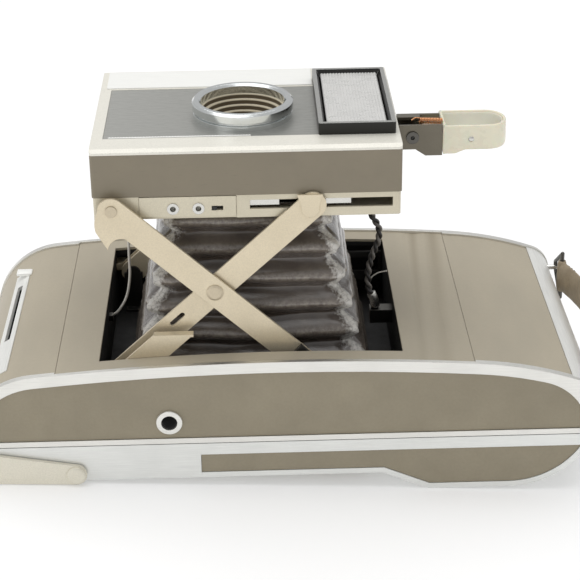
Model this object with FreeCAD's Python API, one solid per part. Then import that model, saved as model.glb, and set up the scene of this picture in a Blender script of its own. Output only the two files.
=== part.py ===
"""Folding instant roll-film camera, lying on its back with the lens board run out.

The drawing frame has X along the length, Z along the lens axis and Y across the body, with x = 0
on the lens board's middle, y = 0 on the body's middle plane and z = 0 on the lowest face of the back.
Every shape is drawn there, and save() moves it to the part's own frame, whose origin is the mouth of the
tripod socket. Millimetres throughout. The base side is the one with the tripod socket, at negative Y.
"""

import FreeCAD
import Part
import math
import os

V = FreeCAD.Vector

# ---- body ----
LENGTH = 254.0            # tip to tip
MIDDLE_X = 11.0           # the body's middle, measured from the lens board's middle
HALF_WIDTH = 64.0         # to the outside of the side frames
SEAM_Z = 24.0             # where the back door meets the body
CROWN_Z = 59.6            # highest point of the side frames
CROWN_R = 1038.0          # long arc of the front
SHOULDER_R = 32.3         # arc at the left end
FALL_X = 90.0             # the front starts to fall towards the right end here
FALL_R = 150.0            # arc it falls along
CORNER_R = 12.0           # right end's upper corner
PANEL_CORNER_R = 28.0     # the same corner of the side panel's outline
FRAME_T = 2.0             # side frame thickness
FRAME_TOP_W = 4.6         # frame's visible width along the crown
FRAME_BASE_W = 2.3        # frame's visible width along the seam
FRAME_PROUD = 0.8         # frame stands this far above the deck
FRAME_LIP = 1.2           # wider lip of the frame over the two end decks
DECK_T = 1.2              # sheet that covers the front
CHASSIS_T = 2.0           # moulded inner body's wall
PANEL_T = 1.4             # leatherette panel
PANEL_GAP = 0.12          # clearance round an inlaid panel
DECK_LEFT_X = -77.0       # joint between the end deck and the front deck
DECK_RIGHT_X = 88.0
CAP_X = 127.0             # right end cap begins here
DECK_GAP = 0.15           # joint between neighbouring deck sheets
GROOVE_X = 76.0           # shallow pressed groove across the front deck
GROOVE_W = 9.0
GROOVE_DEPTH = 0.35

# ---- bay that the lens board drops into ----
BAY_GAP_X = 0.6           # clearance at the lens board's ends
BAY_GAP_Y = 8.1           # clearance at its sides, where the struts lie
BULKHEAD_T = 2.0
GATE_Z = 27.0             # underside of the film gate
GATE_T = 3.0
IMAGE_HALF_X = 47.5       # picture window, half sizes
IMAGE_HALF_Y = 36.5

# ---- lens board ----
BOARD_HALF_X = 59.5
BOARD_HALF_Y = 45.4
PAN_H = 9.5
BAND_H = 17.3             # leatherette-coloured case
FACE_H = 2.0              # face plate
CASE_WALL = 1.6
FACE_CHAMFER = 1.8        # bevel along the face's base side
FACE_DROP = 1.1
LENS_X = -1.0
LENS_Y = -8.7
RING_R = 20.1
RING_H = 6.9
RING_WALL = 3.5
HOOD_STEPS = 7
HOOD_DEPTH = 14.0
HOOD_END_R = 8.0
CELL_X0 = 28.1            # photocell block
CELL_X1 = 57.9
CELL_Y0 = -33.7
CELL_Y1 = 31.3
CELL_H = 4.8
CELL_RIM = 3.2
PLATE_X0 = -55.0          # dark name plate
PLATE_Y0 = -33.0
PLATE_Y1 = 23.0
PLATE_T = 0.7

# ---- scissor struts ----
STRUT_W = 10.6
STRUT_T = 1.0
STRUT_LENGTH = 104.6      # pivot to pivot
STRUT_FOOT_Z = 48.0       # height of the struts' feet in the body
STRUT_ANGLE = 42.45       # degrees from the deck when the lens board is out
PIVOT_X = -52.1
PIVOT_RISE = 5.4          # upper left pivot above the pan's underside
INNER_GAP = 0.8           # lens board side to inner strut
PLANE_GAP = 1.1           # inner strut to outer strut
PIN_R = 1.6
RUN_FIT = 0.05            # radial clearance of a pin in its hole
RETRACT = 61.6            # travel of the lens board
BOW = 2.3                 # how far a strut's free end strays with constant-ratio joints

# ---- back door ----
DOOR_GAP = 0.3
BACK_Z = 8.0              # underside of the thin part of the door
BULGE_X0 = 52.0           # ramp down to the roll compartment
BULGE_X1 = 70.5
DOOR_WALL = 1.6
DOOR_END_R = 35.8         # arc under the right end
DOOR_LEFT_R = 16.0
HINGE_R = 2.2
HINGE_PIN_R = 1.1
HINGE_LEAF = 1.2
HINGE_OUT = 2.2           # hinge axis beyond the body's tip
INLAY_X0 = -21.0
INLAY_TOP = 5.4           # inlay's top edge below the seam
INLAY_MARGIN = 2.3

# ---- latch bail ----
BAIL_X = -71.0
BAIL_Z = 11.6
BAIL_R = 4.3
BAIL_T = 1.6
BAIL_GAP = 0.3
BAIL_TALL = 15.0          # height of the bar across the end
BAIL_DROP = 2.4           # how far the bar reaches below the pivot

# ---- rollers ----
ROLLER_X = -97.0
ROLLER_R = 4.5
ROLLER_GAP = 0.6
ROLLER_HALF = 47.0
JOURNAL_R = 1.5
CHEEK_T = 1.6

# ---- tripod socket ----
SOCKET_X = -33.0
SOCKET_Z = 33.7
SOCKET_R = 3.2            # clears a quarter-inch screw, whose thread is not cut
SOCKET_FLANGE_R = 5.2
SOCKET_DEPTH = 11.0
SOCKET_PROUD = 0.5

# ---- release lever ----
LEVER_Y = -22.0           # base-side face of its channel
LEVER_DEPTH = 13.6
LEVER_PIVOT_X = 65.4
LEVER_PIVOT_RISE = 22.4   # these three are above the pan's underside
LEVER_END = 77.2
LOOP_END = 103.3
LEVER_TOP_RISE = 27.4
LEVER_LOW_RISE = 14.7
LEVER_T = 1.2
LOOP_T = 1.5
LOOP_WIDER = 3.8          # loop reaches this much further than the channel, away from the base side

# ---- hand strap ----
LUG_Y = 53.0              # lug posts on the end cap
LUG_Z = 42.0
LUG_R = 1.1
LUG_HEAD_R = 2.6
LUG_HEAD_T = 0.9
WIRE_OFF = 2.6            # wire's middle stands this far off the end cap
WIRE_END_Y = 56.0         # wire's rounded end, beyond the lug post
WIRE_END_HALF = 1.6
STRAP_END_Y = 44.0        # wire that the strap's end is folded round
STRAP_OUT = 0.6
STRAP_W = 15.0
STRAP_T = 2.2
STRAP_BULGE = 8.0
LOOP_WIRE_R = 0.9

# ---- worked-out sizes ----
ANGLE = math.radians(STRUT_ANGLE)
FOOT_Z = STRUT_FOOT_Z
PIVOT_Z = FOOT_Z + STRUT_LENGTH * math.sin(ANGLE)
PAN_Z = PIVOT_Z - PIVOT_RISE              # underside of the rear pan
LEVER_PIVOT = (LEVER_PIVOT_X, PAN_Z + LEVER_PIVOT_RISE)
LEVER_TOP = PAN_Z + LEVER_TOP_RISE
LEVER_BOTTOM = PAN_Z + LEVER_LOW_RISE
RING_HOLE_R = RING_R - RING_WALL
LOOP_X0 = LEVER_END + 0.1
LOOP_Y0 = LEVER_Y - 0.5
LOOP_Y1 = LEVER_Y + LEVER_DEPTH + 0.5 + LOOP_WIDER
TIP_L = MIDDLE_X - LENGTH / 2
TIP_R = MIDDLE_X + LENGTH / 2
INNER_Y = HALF_WIDTH - FRAME_T            # chassis outside
WALL_Y = INNER_Y - CHASSIS_T              # chassis inside
DECK_INSET = FRAME_PROUD
CHASSIS_INSET = DECK_INSET + DECK_T
CAP_INSET = DECK_INSET - 0.2            # end cap stands a little above the decks
BAY_X = BOARD_HALF_X + BAY_GAP_X
BAY_Y = BOARD_HALF_Y + BAY_GAP_Y
BAND_Z = PAN_Z + PAN_H
FACE_Z = BAND_Z + BAND_H
TOP_Z = FACE_Z + FACE_H
NAME_TOP = TOP_Z - 0.1                   # name plate lies just below the face
HOOD_TOP = NAME_TOP + 3.0                # under the ring's lip
HOOD_LOW = HOOD_TOP - HOOD_DEPTH - 1.2
INNER_STRUT_Y = BOARD_HALF_Y + INNER_GAP  # inside face of the inner strut
OUTER_STRUT_Y = INNER_STRUT_Y + STRUT_T + PLANE_GAP
SLIDE_X = PIVOT_X + STRUT_LENGTH * math.cos(ANGLE)
CROSS_X = (PIVOT_X + SLIDE_X) / 2
CROSS_Z = (PIVOT_Z + FOOT_Z) / 2
GATE_TOP = GATE_Z + GATE_T
DOOR_TOP = SEAM_Z - DOOR_GAP
HINGE_X = TIP_R + HINGE_OUT
HINGE_Z = SEAM_Z - DOOR_GAP / 2
SOCKET_MOUTH = V(SOCKET_X, -HALF_WIDTH - SOCKET_PROUD, SOCKET_Z)
NECK_R = SOCKET_FLANGE_R - 0.6
NECK_END = SOCKET_MOUTH.y + SOCKET_DEPTH + 1.5

saved = {}


# ---- drawing helpers ----
def box(x0, x1, y0, y1, z0, z1):
    return Part.makeBox(x1 - x0, y1 - y0, z1 - z0, V(x0, y0, z0))


def rod_x(x0, x1, y, z, r):
    return Part.makeCylinder(r, x1 - x0, V(x0, y, z), V(1, 0, 0))


def rod_y(x, z, r, y0, y1):
    return Part.makeCylinder(r, y1 - y0, V(x, y0, z), V(0, 1, 0))


def rod_z(x, y, r, z0, z1):
    return Part.makeCylinder(r, z1 - z0, V(x, y, z0), V(0, 0, 1))


def fuse(first, *others):
    solid = first.fuse(list(others))
    return solid.removeSplitter()


def mirrored(shape):
    """The same piece on the top side."""
    return shape.mirror(V(0, 0, 0), V(0, 1, 0))


def both_sides(shape):
    return Part.makeCompound([shape, mirrored(shape)])


def slab(edges, y0, y1):
    """A closed loop of edges in the XZ plane, pulled from y0 to y1."""
    face = Part.Face(Part.Wire(edges))
    face.translate(V(0, y0, 0))
    return face.extrude(V(0, y1 - y0, 0))


def line(a, b):
    return Part.LineSegment(V(a[0], 0, a[1]), V(b[0], 0, b[1])).toShape()


def arc(a, m, b):
    return Part.Arc(V(a[0], 0, a[1]), V(m[0], 0, m[1]), V(b[0], 0, b[1])).toShape()


def polygon(points, y0, y1):
    return slab([line(a, b) for a, b in zip(points, points[1:] + points[:1])], y0, y1)


def strip(a, b, width, y0, y1):
    """A flat bar with round ends between two points of the XZ plane."""
    ax, az = a
    bx, bz = b
    run = math.hypot(bx - ax, bz - az)
    ux, uz = (bx - ax) / run, (bz - az) / run
    r = width / 2
    nx, nz = -uz * r, ux * r
    edges = [
        line((ax + nx, az + nz), (bx + nx, bz + nz)),
        arc((bx + nx, bz + nz), (bx + ux * r, bz + uz * r), (bx - nx, bz - nz)),
        line((bx - nx, bz - nz), (ax - nx, az - nz)),
        arc((ax - nx, az - nz), (ax - ux * r, az - uz * r), (ax + nx, az + nz)),
    ]
    return slab(edges, y0, y1)


def rounded_block(x0, x1, y0, y1, z0, z1, r):
    solid = box(x0, x1, y0, y1, z0, z1)
    upright = [e for e in solid.Edges if abs(e.tangentAt(e.FirstParameter).z) > 0.99]
    return solid.makeFillet(r, upright)


def turned(profile, x, y, z):
    """A profile of (radius, height) points turned about a vertical axis."""
    points = [V(r, 0, h) for r, h in profile]
    face = Part.Face(Part.makePolygon(points + points[:1]))
    solid = face.revolve(V(0, 0, 0), V(0, 0, 1), 360)
    solid.translate(V(x, y, z))
    return solid


def save(name, shape):
    """Moves a finished node to the part's own frame and writes it."""
    placed = shape.copy()
    placed.translate(SOCKET_MOUTH * -1)
    saved[name] = placed
    placed.exportStep(f"parts/{name}.step")


# ---- the body's outline ----
def inside_circle(centre, radius, x, small):
    """Centre, over x, of a small circle that touches a larger one from inside."""
    return x, centre[1] + math.sqrt((radius - small) ** 2 - (x - centre[0]) ** 2)


def outward(a, b, reach):
    """Point beyond b on the line from a, reach away from b."""
    length = math.hypot(b[0] - a[0], b[1] - a[1])
    return b[0] + (b[0] - a[0]) / length * reach, b[1] + (b[1] - a[1]) / length * reach


def on_circle(centre, r, a, b):
    """Point of a circle halfway round between two of its points."""
    turn_a = math.atan2(a[1] - centre[1], a[0] - centre[0])
    turn_b = math.atan2(b[1] - centre[1], b[0] - centre[0])
    if turn_b < turn_a - math.pi:
        turn_b += 2 * math.pi
    middle = (turn_a + turn_b) / 2
    return centre[0] + r * math.cos(middle), centre[1] + r * math.sin(middle)


CROWN_CENTRE = (MIDDLE_X, CROWN_Z - CROWN_R)
LEFT_CENTRE = inside_circle(CROWN_CENTRE, CROWN_R, TIP_L + SHOULDER_R, SHOULDER_R)
FALL_SHARE = (CROWN_R - FALL_R) / CROWN_R
FALL_CENTRE = inside_circle(CROWN_CENTRE, CROWN_R, MIDDLE_X + (FALL_X - MIDDLE_X) * FALL_SHARE, FALL_R)


def outline(inset, base_z, corner=CORNER_R):
    """Edges of the body's side view, drawn in by inset, closed along z = base_z."""
    crown_top = (MIDDLE_X, CROWN_Z - inset)
    r = SHOULDER_R - inset
    top_l = outward(CROWN_CENTRE, LEFT_CENTRE, r)
    low_l = (LEFT_CENTRE[0] - math.sqrt(r * r - (base_z - LEFT_CENTRE[1]) ** 2), base_z)
    fall = FALL_R - inset
    fall_start = outward(CROWN_CENTRE, FALL_CENTRE, fall)
    centre = inside_circle(FALL_CENTRE, FALL_R, TIP_R - corner, corner)
    r2 = corner - inset
    fall_end = outward(FALL_CENTRE, centre, r2)
    drop = max(base_z, centre[1])
    tip = (centre[0] + math.sqrt(r2 * r2 - (drop - centre[1]) ** 2), drop)
    edges = [
        arc(low_l, on_circle(LEFT_CENTRE, r, top_l, low_l), top_l),
        arc(top_l, crown_top, fall_start),
        arc(fall_start, on_circle(FALL_CENTRE, fall, fall_end, fall_start), fall_end),
        arc(fall_end, on_circle(centre, r2, tip, fall_end), tip),
    ]
    corner_foot = (tip[0], base_z)
    if tip[1] > base_z + 1e-6:
        edges.append(line(tip, corner_foot))
    return edges + [line(corner_foot, low_l)]


def crown_height(x, inset=0.0):
    """Height of the front surface over x, between the two shoulders."""
    r = CROWN_R - inset
    return CROWN_Z - CROWN_R + math.sqrt(r * r - (x - MIDDLE_X) ** 2)


def left_height(x, inset=0.0):
    """Height of the left end's arc over x."""
    r = SHOULDER_R - inset
    return LEFT_CENTRE[1] + math.sqrt(r * r - (x - LEFT_CENTRE[0]) ** 2)


# ---- body: chassis, frames, decks ----
def chassis():
    outer = slab(outline(CHASSIS_INSET, SEAM_Z), -INNER_Y, INNER_Y)
    inner = slab(outline(CHASSIS_INSET + CHASSIS_T, SEAM_Z), -WALL_Y, WALL_Y)
    solid = outer.cut(inner)
    reach = LENGTH
    under = slab(outline(CHASSIS_INSET + CHASSIS_T / 2, SEAM_Z), -INNER_Y, INNER_Y)
    for x in (-BAY_X - BULKHEAD_T, BAY_X):
        wall = box(x, x + BULKHEAD_T, -WALL_Y, WALL_Y, GATE_Z, reach)
        solid = solid.fuse(wall.common(under))
    gate = box(-BAY_X - BULKHEAD_T, BAY_X + BULKHEAD_T, -WALL_Y, WALL_Y, GATE_Z, GATE_TOP)
    solid = solid.fuse(gate)
    solid = solid.cut(box(-IMAGE_HALF_X, IMAGE_HALF_X, -IMAGE_HALF_Y, IMAGE_HALF_Y, GATE_Z - 1, GATE_TOP + 1))
    solid = solid.cut(box(-BAY_X, BAY_X, -BAY_Y, BAY_Y, GATE_TOP, reach))
    hole = rod_y(SOCKET_X, SOCKET_Z, NECK_R, -INNER_Y - 1, NECK_END)
    solid = solid.cut(hole)
    solid = solid.cut(tab_slot_cut(TAB_SLOT_HALF + 1.0, CHASSIS_INSET - 1))
    return solid.removeSplitter()


TAB_X = -101.0            # middle of the paper-tab strip on the left shoulder
TAB_W = 7.5
TAB_Y0 = -50.0
TAB_Y1 = 43.0
TAB_T = 1.0
TAB_SLOT_Y0 = -21.0
TAB_SLOT_Y1 = 30.0
TAB_SLOT_HALF = 1.4
TAB_RECESS = 0.5


def shoulder_frame(x, inset):
    """Point on the left end's arc, its outward normal and its tangent towards the crown."""
    cx, cz = LEFT_CENTRE
    n = V(x - cx, 0, left_height(x) - cz).normalize()
    return V(cx, 0, cz) + n * (SHOULDER_R - inset), n, V(n.z, 0, -n.x)


def tab_slot_cut(half, inset):
    """Prism along the tab slot, square to the left shoulder, from above the skin to inside the chassis."""
    p, n, t = shoulder_frame(TAB_X, inset)
    corners = [p + t * half + n * 3, p - t * half + n * 3, p - t * half - n * 8, p + t * half - n * 8]
    return polygon([(c.x, c.z) for c in corners], TAB_SLOT_Y0, TAB_SLOT_Y1)


def tab_band(y0, y1, half, inset, depth):
    """Curved strip that follows the left shoulder."""
    ring = slab(outline(inset, SEAM_Z), y0, y1).cut(slab(outline(inset + depth, SEAM_Z), y0, y1))
    p, n, t = shoulder_frame(TAB_X, inset)
    corners = [p + t * half + n * 9, p - t * half + n * 9, p - t * half - n * 9, p + t * half - n * 9]
    return ring.common(polygon([(c.x, c.z) for c in corners], y0, y1))


def side_frame():
    """Bright frame of one side: a plate whose middle is open for the panel, with a wider lip at both ends."""
    y0, y1 = -HALF_WIDTH, -INNER_Y
    plate = slab(outline(0, SEAM_Z), y0, y1)
    pocket = slab(outline(FRAME_TOP_W, SEAM_Z + FRAME_BASE_W, PANEL_CORNER_R), y0 - 1, y1 + 1)
    solid = plate.cut(pocket)
    rim = slab(outline(0, SEAM_Z), y1, y1 + FRAME_LIP)
    rim = rim.cut(slab(outline(CHASSIS_INSET, SEAM_Z - 1), y1, y1 + FRAME_LIP))
    for x0, x1 in ((TIP_L - 1, DECK_LEFT_X), (DECK_RIGHT_X, CAP_X - DECK_GAP)):
        solid = solid.fuse(rim.common(box(x0, x1, y1, y1 + FRAME_LIP, SEAM_Z, CROWN_Z)))
    return solid.removeSplitter()


def side_panel(with_socket):
    y1 = -INNER_Y
    edges = outline(FRAME_TOP_W + PANEL_GAP, SEAM_Z + FRAME_BASE_W + PANEL_GAP, PANEL_CORNER_R)
    solid = slab(edges, y1 - PANEL_T, y1)
    if with_socket:
        solid = solid.cut(rod_y(SOCKET_X, SOCKET_Z, SOCKET_FLANGE_R - 0.4, y1 - 5, y1 + 1))
    return solid


def deck(x0, x1, half):
    skin = slab(outline(DECK_INSET, SEAM_Z), -half, half)
    skin = skin.cut(slab(outline(CHASSIS_INSET, SEAM_Z - 1), -half - 1, half + 1))
    return skin.common(box(x0, x1, -half, half, SEAM_Z, CROWN_Z))


def front_deck():
    solid = deck(DECK_LEFT_X + DECK_GAP, DECK_RIGHT_X - DECK_GAP, INNER_Y)
    solid = solid.cut(box(-BAY_X, BAY_X, -BAY_Y, BAY_Y, SEAM_Z, CROWN_Z))
    top = crown_height(GROOVE_X, DECK_INSET)
    groove_r = (GROOVE_W / 2) ** 2 / (2 * GROOVE_DEPTH) + GROOVE_DEPTH / 2
    groove = rod_y(GROOVE_X, top - GROOVE_DEPTH + groove_r, groove_r, -INNER_Y, INNER_Y)
    return solid.cut(groove)


def left_deck():
    half = INNER_Y - FRAME_LIP
    solid = deck(TIP_L - 1, DECK_LEFT_X, half)
    return solid.cut(tab_band(TAB_Y0 - PANEL_GAP, TAB_Y1 + PANEL_GAP, TAB_W / 2 + PANEL_GAP, 0, 3.0))


def right_deck():
    return deck(DECK_RIGHT_X, CAP_X - DECK_GAP, INNER_Y - FRAME_LIP)


def end_cap():
    skin = slab(outline(CAP_INSET, SEAM_Z), -INNER_Y, INNER_Y)
    skin = skin.cut(slab(outline(CHASSIS_INSET, SEAM_Z - 1), -INNER_Y - 1, INNER_Y + 1))
    return skin.common(box(CAP_X, TIP_R + 1, -INNER_Y, INNER_Y, SEAM_Z, CROWN_Z))


def tab_strip():
    solid = tab_band(TAB_Y0, TAB_Y1, TAB_W / 2, TAB_RECESS, CHASSIS_INSET - TAB_RECESS)
    return solid.cut(tab_slot_cut(TAB_SLOT_HALF, 0))


def tripod_socket():
    mouth = -HALF_WIDTH - SOCKET_PROUD
    flange = rod_y(SOCKET_X, SOCKET_Z, SOCKET_FLANGE_R, mouth, -INNER_Y - PANEL_T)
    neck = rod_y(SOCKET_X, SOCKET_Z, NECK_R, mouth, NECK_END)
    solid = fuse(flange, neck)
    solid = solid.cut(rod_y(SOCKET_X, SOCKET_Z, SOCKET_R, mouth, mouth + SOCKET_DEPTH))
    rim = [
        e for e in solid.Edges
        if abs(e.BoundBox.YMin - mouth) < 1e-6 and abs(e.BoundBox.YMax - mouth) < 1e-6
    ]
    outer = max(rim, key=lambda e: e.Length)
    return solid.makeFillet(0.35, [outer])


# ---- strut anchors in the body ----
def strut_post():
    """Upright lug on the gate, with the pin that the inner strut turns on."""
    y1 = -INNER_STRUT_Y + 0.2 + 1.2
    y0 = y1 - 1.2
    plate = box(PIVOT_X - 4, PIVOT_X + 4, y0, y1, GATE_TOP, FOOT_Z)
    top = rod_y(PIVOT_X, FOOT_Z, 3.0, y0, y1)
    foot = box(PIVOT_X - 4, PIVOT_X + 4, y0, y1 + 3, GATE_TOP, GATE_TOP + 1.2)
    outside = -INNER_STRUT_Y - STRUT_T
    pin = rod_y(PIVOT_X, FOOT_Z, PIN_R, outside - 0.6, y0)
    head = rod_y(PIVOT_X, FOOT_Z, PIN_R + 0.9, outside - 0.6, outside - 0.1)
    return fuse(plate, top, foot, pin, head)


def strut_guide():
    """Slotted rail on the side wall that the outer strut's foot pin runs in, with a small catch above it."""
    y1 = -OUTER_STRUT_Y - STRUT_T - 1.6
    y0 = y1 - 1.6
    x0 = SLIDE_X - 8
    x1 = BAY_X - 0.5
    plate = box(x0, x1, y0, y1, FOOT_Z - 9, FOOT_Z + 5)
    slot = box(x0 + 4, x1 - 1.5, y0 - 1, y1 + 1, FOOT_Z - BOW - PIN_R - 0.5, FOOT_Z + PIN_R + 0.5)
    solid = plate.cut(slot)
    for x in (x0, x1 - 3):
        solid = solid.fuse(box(x, x + 3, -WALL_Y, y0, FOOT_Z - 9, FOOT_Z - 5))
    deck_z = crown_height(SLIDE_X, CHASSIS_INSET)
    tab = polygon(
        [(x0, FOOT_Z + 4), (x0 + 7, FOOT_Z + 4), (x0 + 7, deck_z - 1), (x0 + 2.8, deck_z + 3.4), (x0, deck_z)],
        y0, y1,
    )
    return solid.fuse(tab).removeSplitter()


CATCH_X = -40.7           # middle of the catch where it leaves the deck
CATCH_RISE = 9.5
CATCH_T = 1.0


def strut_catch():
    """Sloping sheet catch that backs the inner strut, with a lip bent over at its top."""
    y0 = -BAY_Y + 0.2
    y1 = y0 + CATCH_T
    deck_z = crown_height(CATCH_X, DECK_INSET)
    half = STRUT_W / math.sin(ANGLE) / 2
    slope = 1 / math.tan(ANGLE)
    low = FOOT_Z - 2
    top = deck_z + CATCH_RISE

    def centre(z):
        return CATCH_X + (z - deck_z) * slope

    sheet = polygon(
        [
            (centre(low) - half, low), (centre(low) + half, low),
            (centre(top) + half, top), (centre(top) - half, top),
        ],
        y0, y1,
    )
    lip_y = -OUTER_STRUT_Y - STRUT_T - 0.5
    lip = box(centre(top) - half, centre(top) + half, y0, lip_y, top - CATCH_T, top)
    foot = box(centre(low) - half, centre(low) + half, -WALL_Y, y1, low, low + 3)
    return fuse(sheet, lip, foot).cut(box(-LENGTH, -BAY_X, -WALL_Y, 0, low - 1, top + 1))


# ---- rollers ----
BODY_ROLLER_Z = SEAM_Z + 1.5 + ROLLER_R
DOOR_ROLLER_Z = BODY_ROLLER_Z - 2 * ROLLER_R - ROLLER_GAP


def roller(z):
    drum = rod_y(ROLLER_X, z, ROLLER_R, -ROLLER_HALF, ROLLER_HALF)
    axle = rod_y(ROLLER_X, z, JOURNAL_R, -ROLLER_HALF - CHEEK_T - 1, ROLLER_HALF + CHEEK_T + 1)
    return fuse(drum, axle)


def cheek(z, root_z):
    """Bracket beside a roller, from the wall it stands on at root_z to round its journal."""
    y1 = -ROLLER_HALF - 0.4
    y0 = y1 - CHEEK_T
    reach = box(ROLLER_X - 3, ROLLER_X + 3, y0, y1, min(z, root_z), max(z, root_z))
    eye = rod_y(ROLLER_X, z, 3.0, y0, y1)
    return fuse(reach, eye).cut(rod_y(ROLLER_X, z, JOURNAL_R + RUN_FIT, y0 - 1, y1 + 1))


# ---- back door ----
def door_outline(inset, top_z, left_x=None):
    """Side view of the door, drawn in by inset, closed along z = top_z."""
    r = DOOR_END_R - inset
    cx = TIP_R - 1.2 - math.sqrt(DOOR_END_R ** 2 - (DOOR_END_R - SEAM_Z) ** 2)
    cz = DOOR_END_R
    right = (cx + math.sqrt(r * r - (top_z - cz) ** 2), top_z)
    bottom = (cx, inset)
    a = math.atan2(right[1] - cz, right[0] - cx)
    mid_angle = (a - math.pi / 2) / 2
    mid = (cx + r * math.cos(mid_angle), cz + r * math.sin(mid_angle))
    slope = math.atan2(BACK_Z, BULGE_X1 - BULGE_X0)
    shift = inset * math.tan(slope / 2)
    ramp_top = (BULGE_X0 + shift, BACK_Z + inset)
    ramp_low = (BULGE_X1 + shift, inset)
    edges = [line(ramp_top, ramp_low), line(ramp_low, bottom), arc(bottom, mid, right)]
    if left_x is None:
        lr = DOOR_LEFT_R - inset
        lcx = TIP_L + 0.8 + DOOR_LEFT_R
        lcz = BACK_Z + DOOR_LEFT_R
        left = (lcx - math.sqrt(lr * lr - (top_z - lcz) ** 2), top_z)
        b = math.atan2(left[1] - lcz, left[0] - lcx) % (2 * math.pi)
        m = (b + 1.5 * math.pi) / 2
        knee = (lcx, BACK_Z + inset)
        edges += [
            line(right, left),
            arc(left, (lcx + lr * math.cos(m), lcz + lr * math.sin(m)), knee),
            line(knee, ramp_top),
        ]
    else:
        corner = (left_x, BACK_Z + inset)
        edges += [line(right, (left_x, top_z)), line((left_x, top_z), corner), line(corner, ramp_top)]
    return edges


def door_shell():
    outer = slab(door_outline(0, DOOR_TOP), -HALF_WIDTH, HALF_WIDTH)
    inner = slab(door_outline(DOOR_WALL, DOOR_TOP), -HALF_WIDTH + FRAME_T + 1, HALF_WIDTH - FRAME_T - 1)
    solid = outer.cut(inner)
    for side in (-1, 1):
        y = side * HALF_WIDTH
        pocket = slab(door_inlay_edges(0), min(y, y - side * PANEL_T), max(y, y - side * PANEL_T))
        solid = solid.cut(pocket)
        bore = rod_y(BAIL_X, BAIL_Z, PIN_R, min(y, y - side * 2), max(y, y - side * 2))
        solid = solid.cut(bore)
    for x0, x1, z in back_panels():
        solid = solid.cut(box(x0, x1, -BACK_PANEL_Y, BACK_PANEL_Y, z - 1, z + BACK_PANEL_T))
    return solid.removeSplitter()


BACK_PANEL_Y = 56.0
BACK_PANEL_T = 0.8


def back_panels():
    """(x0, x1, outside face) of the two leatherette panels under the door."""
    left = TIP_L + DOOR_LEFT_R + 3
    right = TIP_R - 1.2 - DOOR_END_R
    return ((left, BULGE_X0 - 5, BACK_Z), (BULGE_X1 + 3, right, 0.0))


def back_panel(index):
    x0, x1, z = back_panels()[index]
    gap = PANEL_GAP
    return box(x0 + gap, x1 - gap, -BACK_PANEL_Y + gap, BACK_PANEL_Y - gap, z + 0.1, z + BACK_PANEL_T)


def door_inlay_edges(gap):
    top = SEAM_Z - INLAY_TOP - gap
    return door_outline(INLAY_MARGIN + gap, top, INLAY_X0 + gap)


def door_inlay():
    y0 = -HALF_WIDTH + 0.4
    return slab(door_inlay_edges(PANEL_GAP), y0, -HALF_WIDTH + PANEL_T)


def pressure_plate():
    """Sprung plate that holds the film flat against the gate."""
    z0 = GATE_Z - 2.2
    plate = box(-IMAGE_HALF_X - 4, IMAGE_HALF_X + 4, -IMAGE_HALF_Y - 5, IMAGE_HALF_Y + 5, z0 - 1.2, z0)
    solid = plate
    for x in (-30, 30):
        for y in (-20, 20):
            solid = solid.fuse(rod_z(x, y, 2.5, BACK_Z + DOOR_WALL, z0 - 1.2))
    return solid.removeSplitter()


def hinge_knuckles(on_door):
    """Alternate barrels of the door hinge with their leaves."""
    count = 5
    step = 2 * (INNER_Y - 8) / count
    pieces = []
    skin = slab(outline(CAP_INSET, SEAM_Z), -INNER_Y, INNER_Y)
    if on_door:
        skin = slab(door_outline(0, DOOR_TOP), -INNER_Y, INNER_Y)
    for i in range(count):
        if (i % 2 == 1) != on_door:
            continue
        y0 = -INNER_Y + 8 + i * step + 0.2
        y1 = y0 + step - 0.4
        barrel = rod_y(HINGE_X, HINGE_Z, HINGE_R, y0, y1)
        if on_door:
            leaf = box(TIP_R - 6, HINGE_X, y0, y1, HINGE_Z - HINGE_R, HINGE_Z - HINGE_R + HINGE_LEAF)
        else:
            leaf = box(TIP_R - 6, HINGE_X, y0, y1, HINGE_Z + HINGE_R - HINGE_LEAF, HINGE_Z + HINGE_R)
        solid = fuse(barrel, leaf).cut(skin)
        bore = HINGE_PIN_R + (RUN_FIT if on_door else 0.0)
        pieces.append(solid.cut(rod_y(HINGE_X, HINGE_Z, bore, y0 - 1, y1 + 1)))
    return pieces


def hinge_pin():
    return rod_y(HINGE_X, HINGE_Z, HINGE_PIN_R, -INNER_Y + 8, INNER_Y - 8)


# ---- latch bail ----
def latch_bail():
    """Two tapering arms joined by a bar round the left end."""
    y_in = -HALF_WIDTH - BAIL_GAP
    y_out = y_in - BAIL_T
    bar_in = TIP_L - 0.6
    bar_out = bar_in - BAIL_T
    z0 = BAIL_Z - BAIL_DROP
    z1 = z0 + BAIL_TALL
    top = (BAIL_X, BAIL_Z + BAIL_R)
    low = (BAIL_X, BAIL_Z - BAIL_R)
    edges = [
        arc(low, (BAIL_X + BAIL_R, BAIL_Z), top),
        line(top, (bar_out, z1)),
        line((bar_out, z1), (bar_out, z0)),
        line((bar_out, z0), low),
    ]
    arm = slab(edges, y_out, y_in).cut(rod_y(BAIL_X, BAIL_Z, PIN_R + RUN_FIT, y_out - 1, y_in + 1))
    bar = box(bar_out, bar_in, y_out, -y_out, z0, z1)
    solid = fuse(arm, mirrored(arm), bar)
    corners = [
        e for e in solid.Edges
        if abs(abs(e.CenterOfMass.y) - abs(y_out)) < 1e-6
        and abs(e.CenterOfMass.x - bar_out) < 1e-6
        and e.BoundBox.ZLength > BAIL_TALL / 2
    ]
    return solid.makeFillet(BAIL_T * 0.8, corners)


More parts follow.
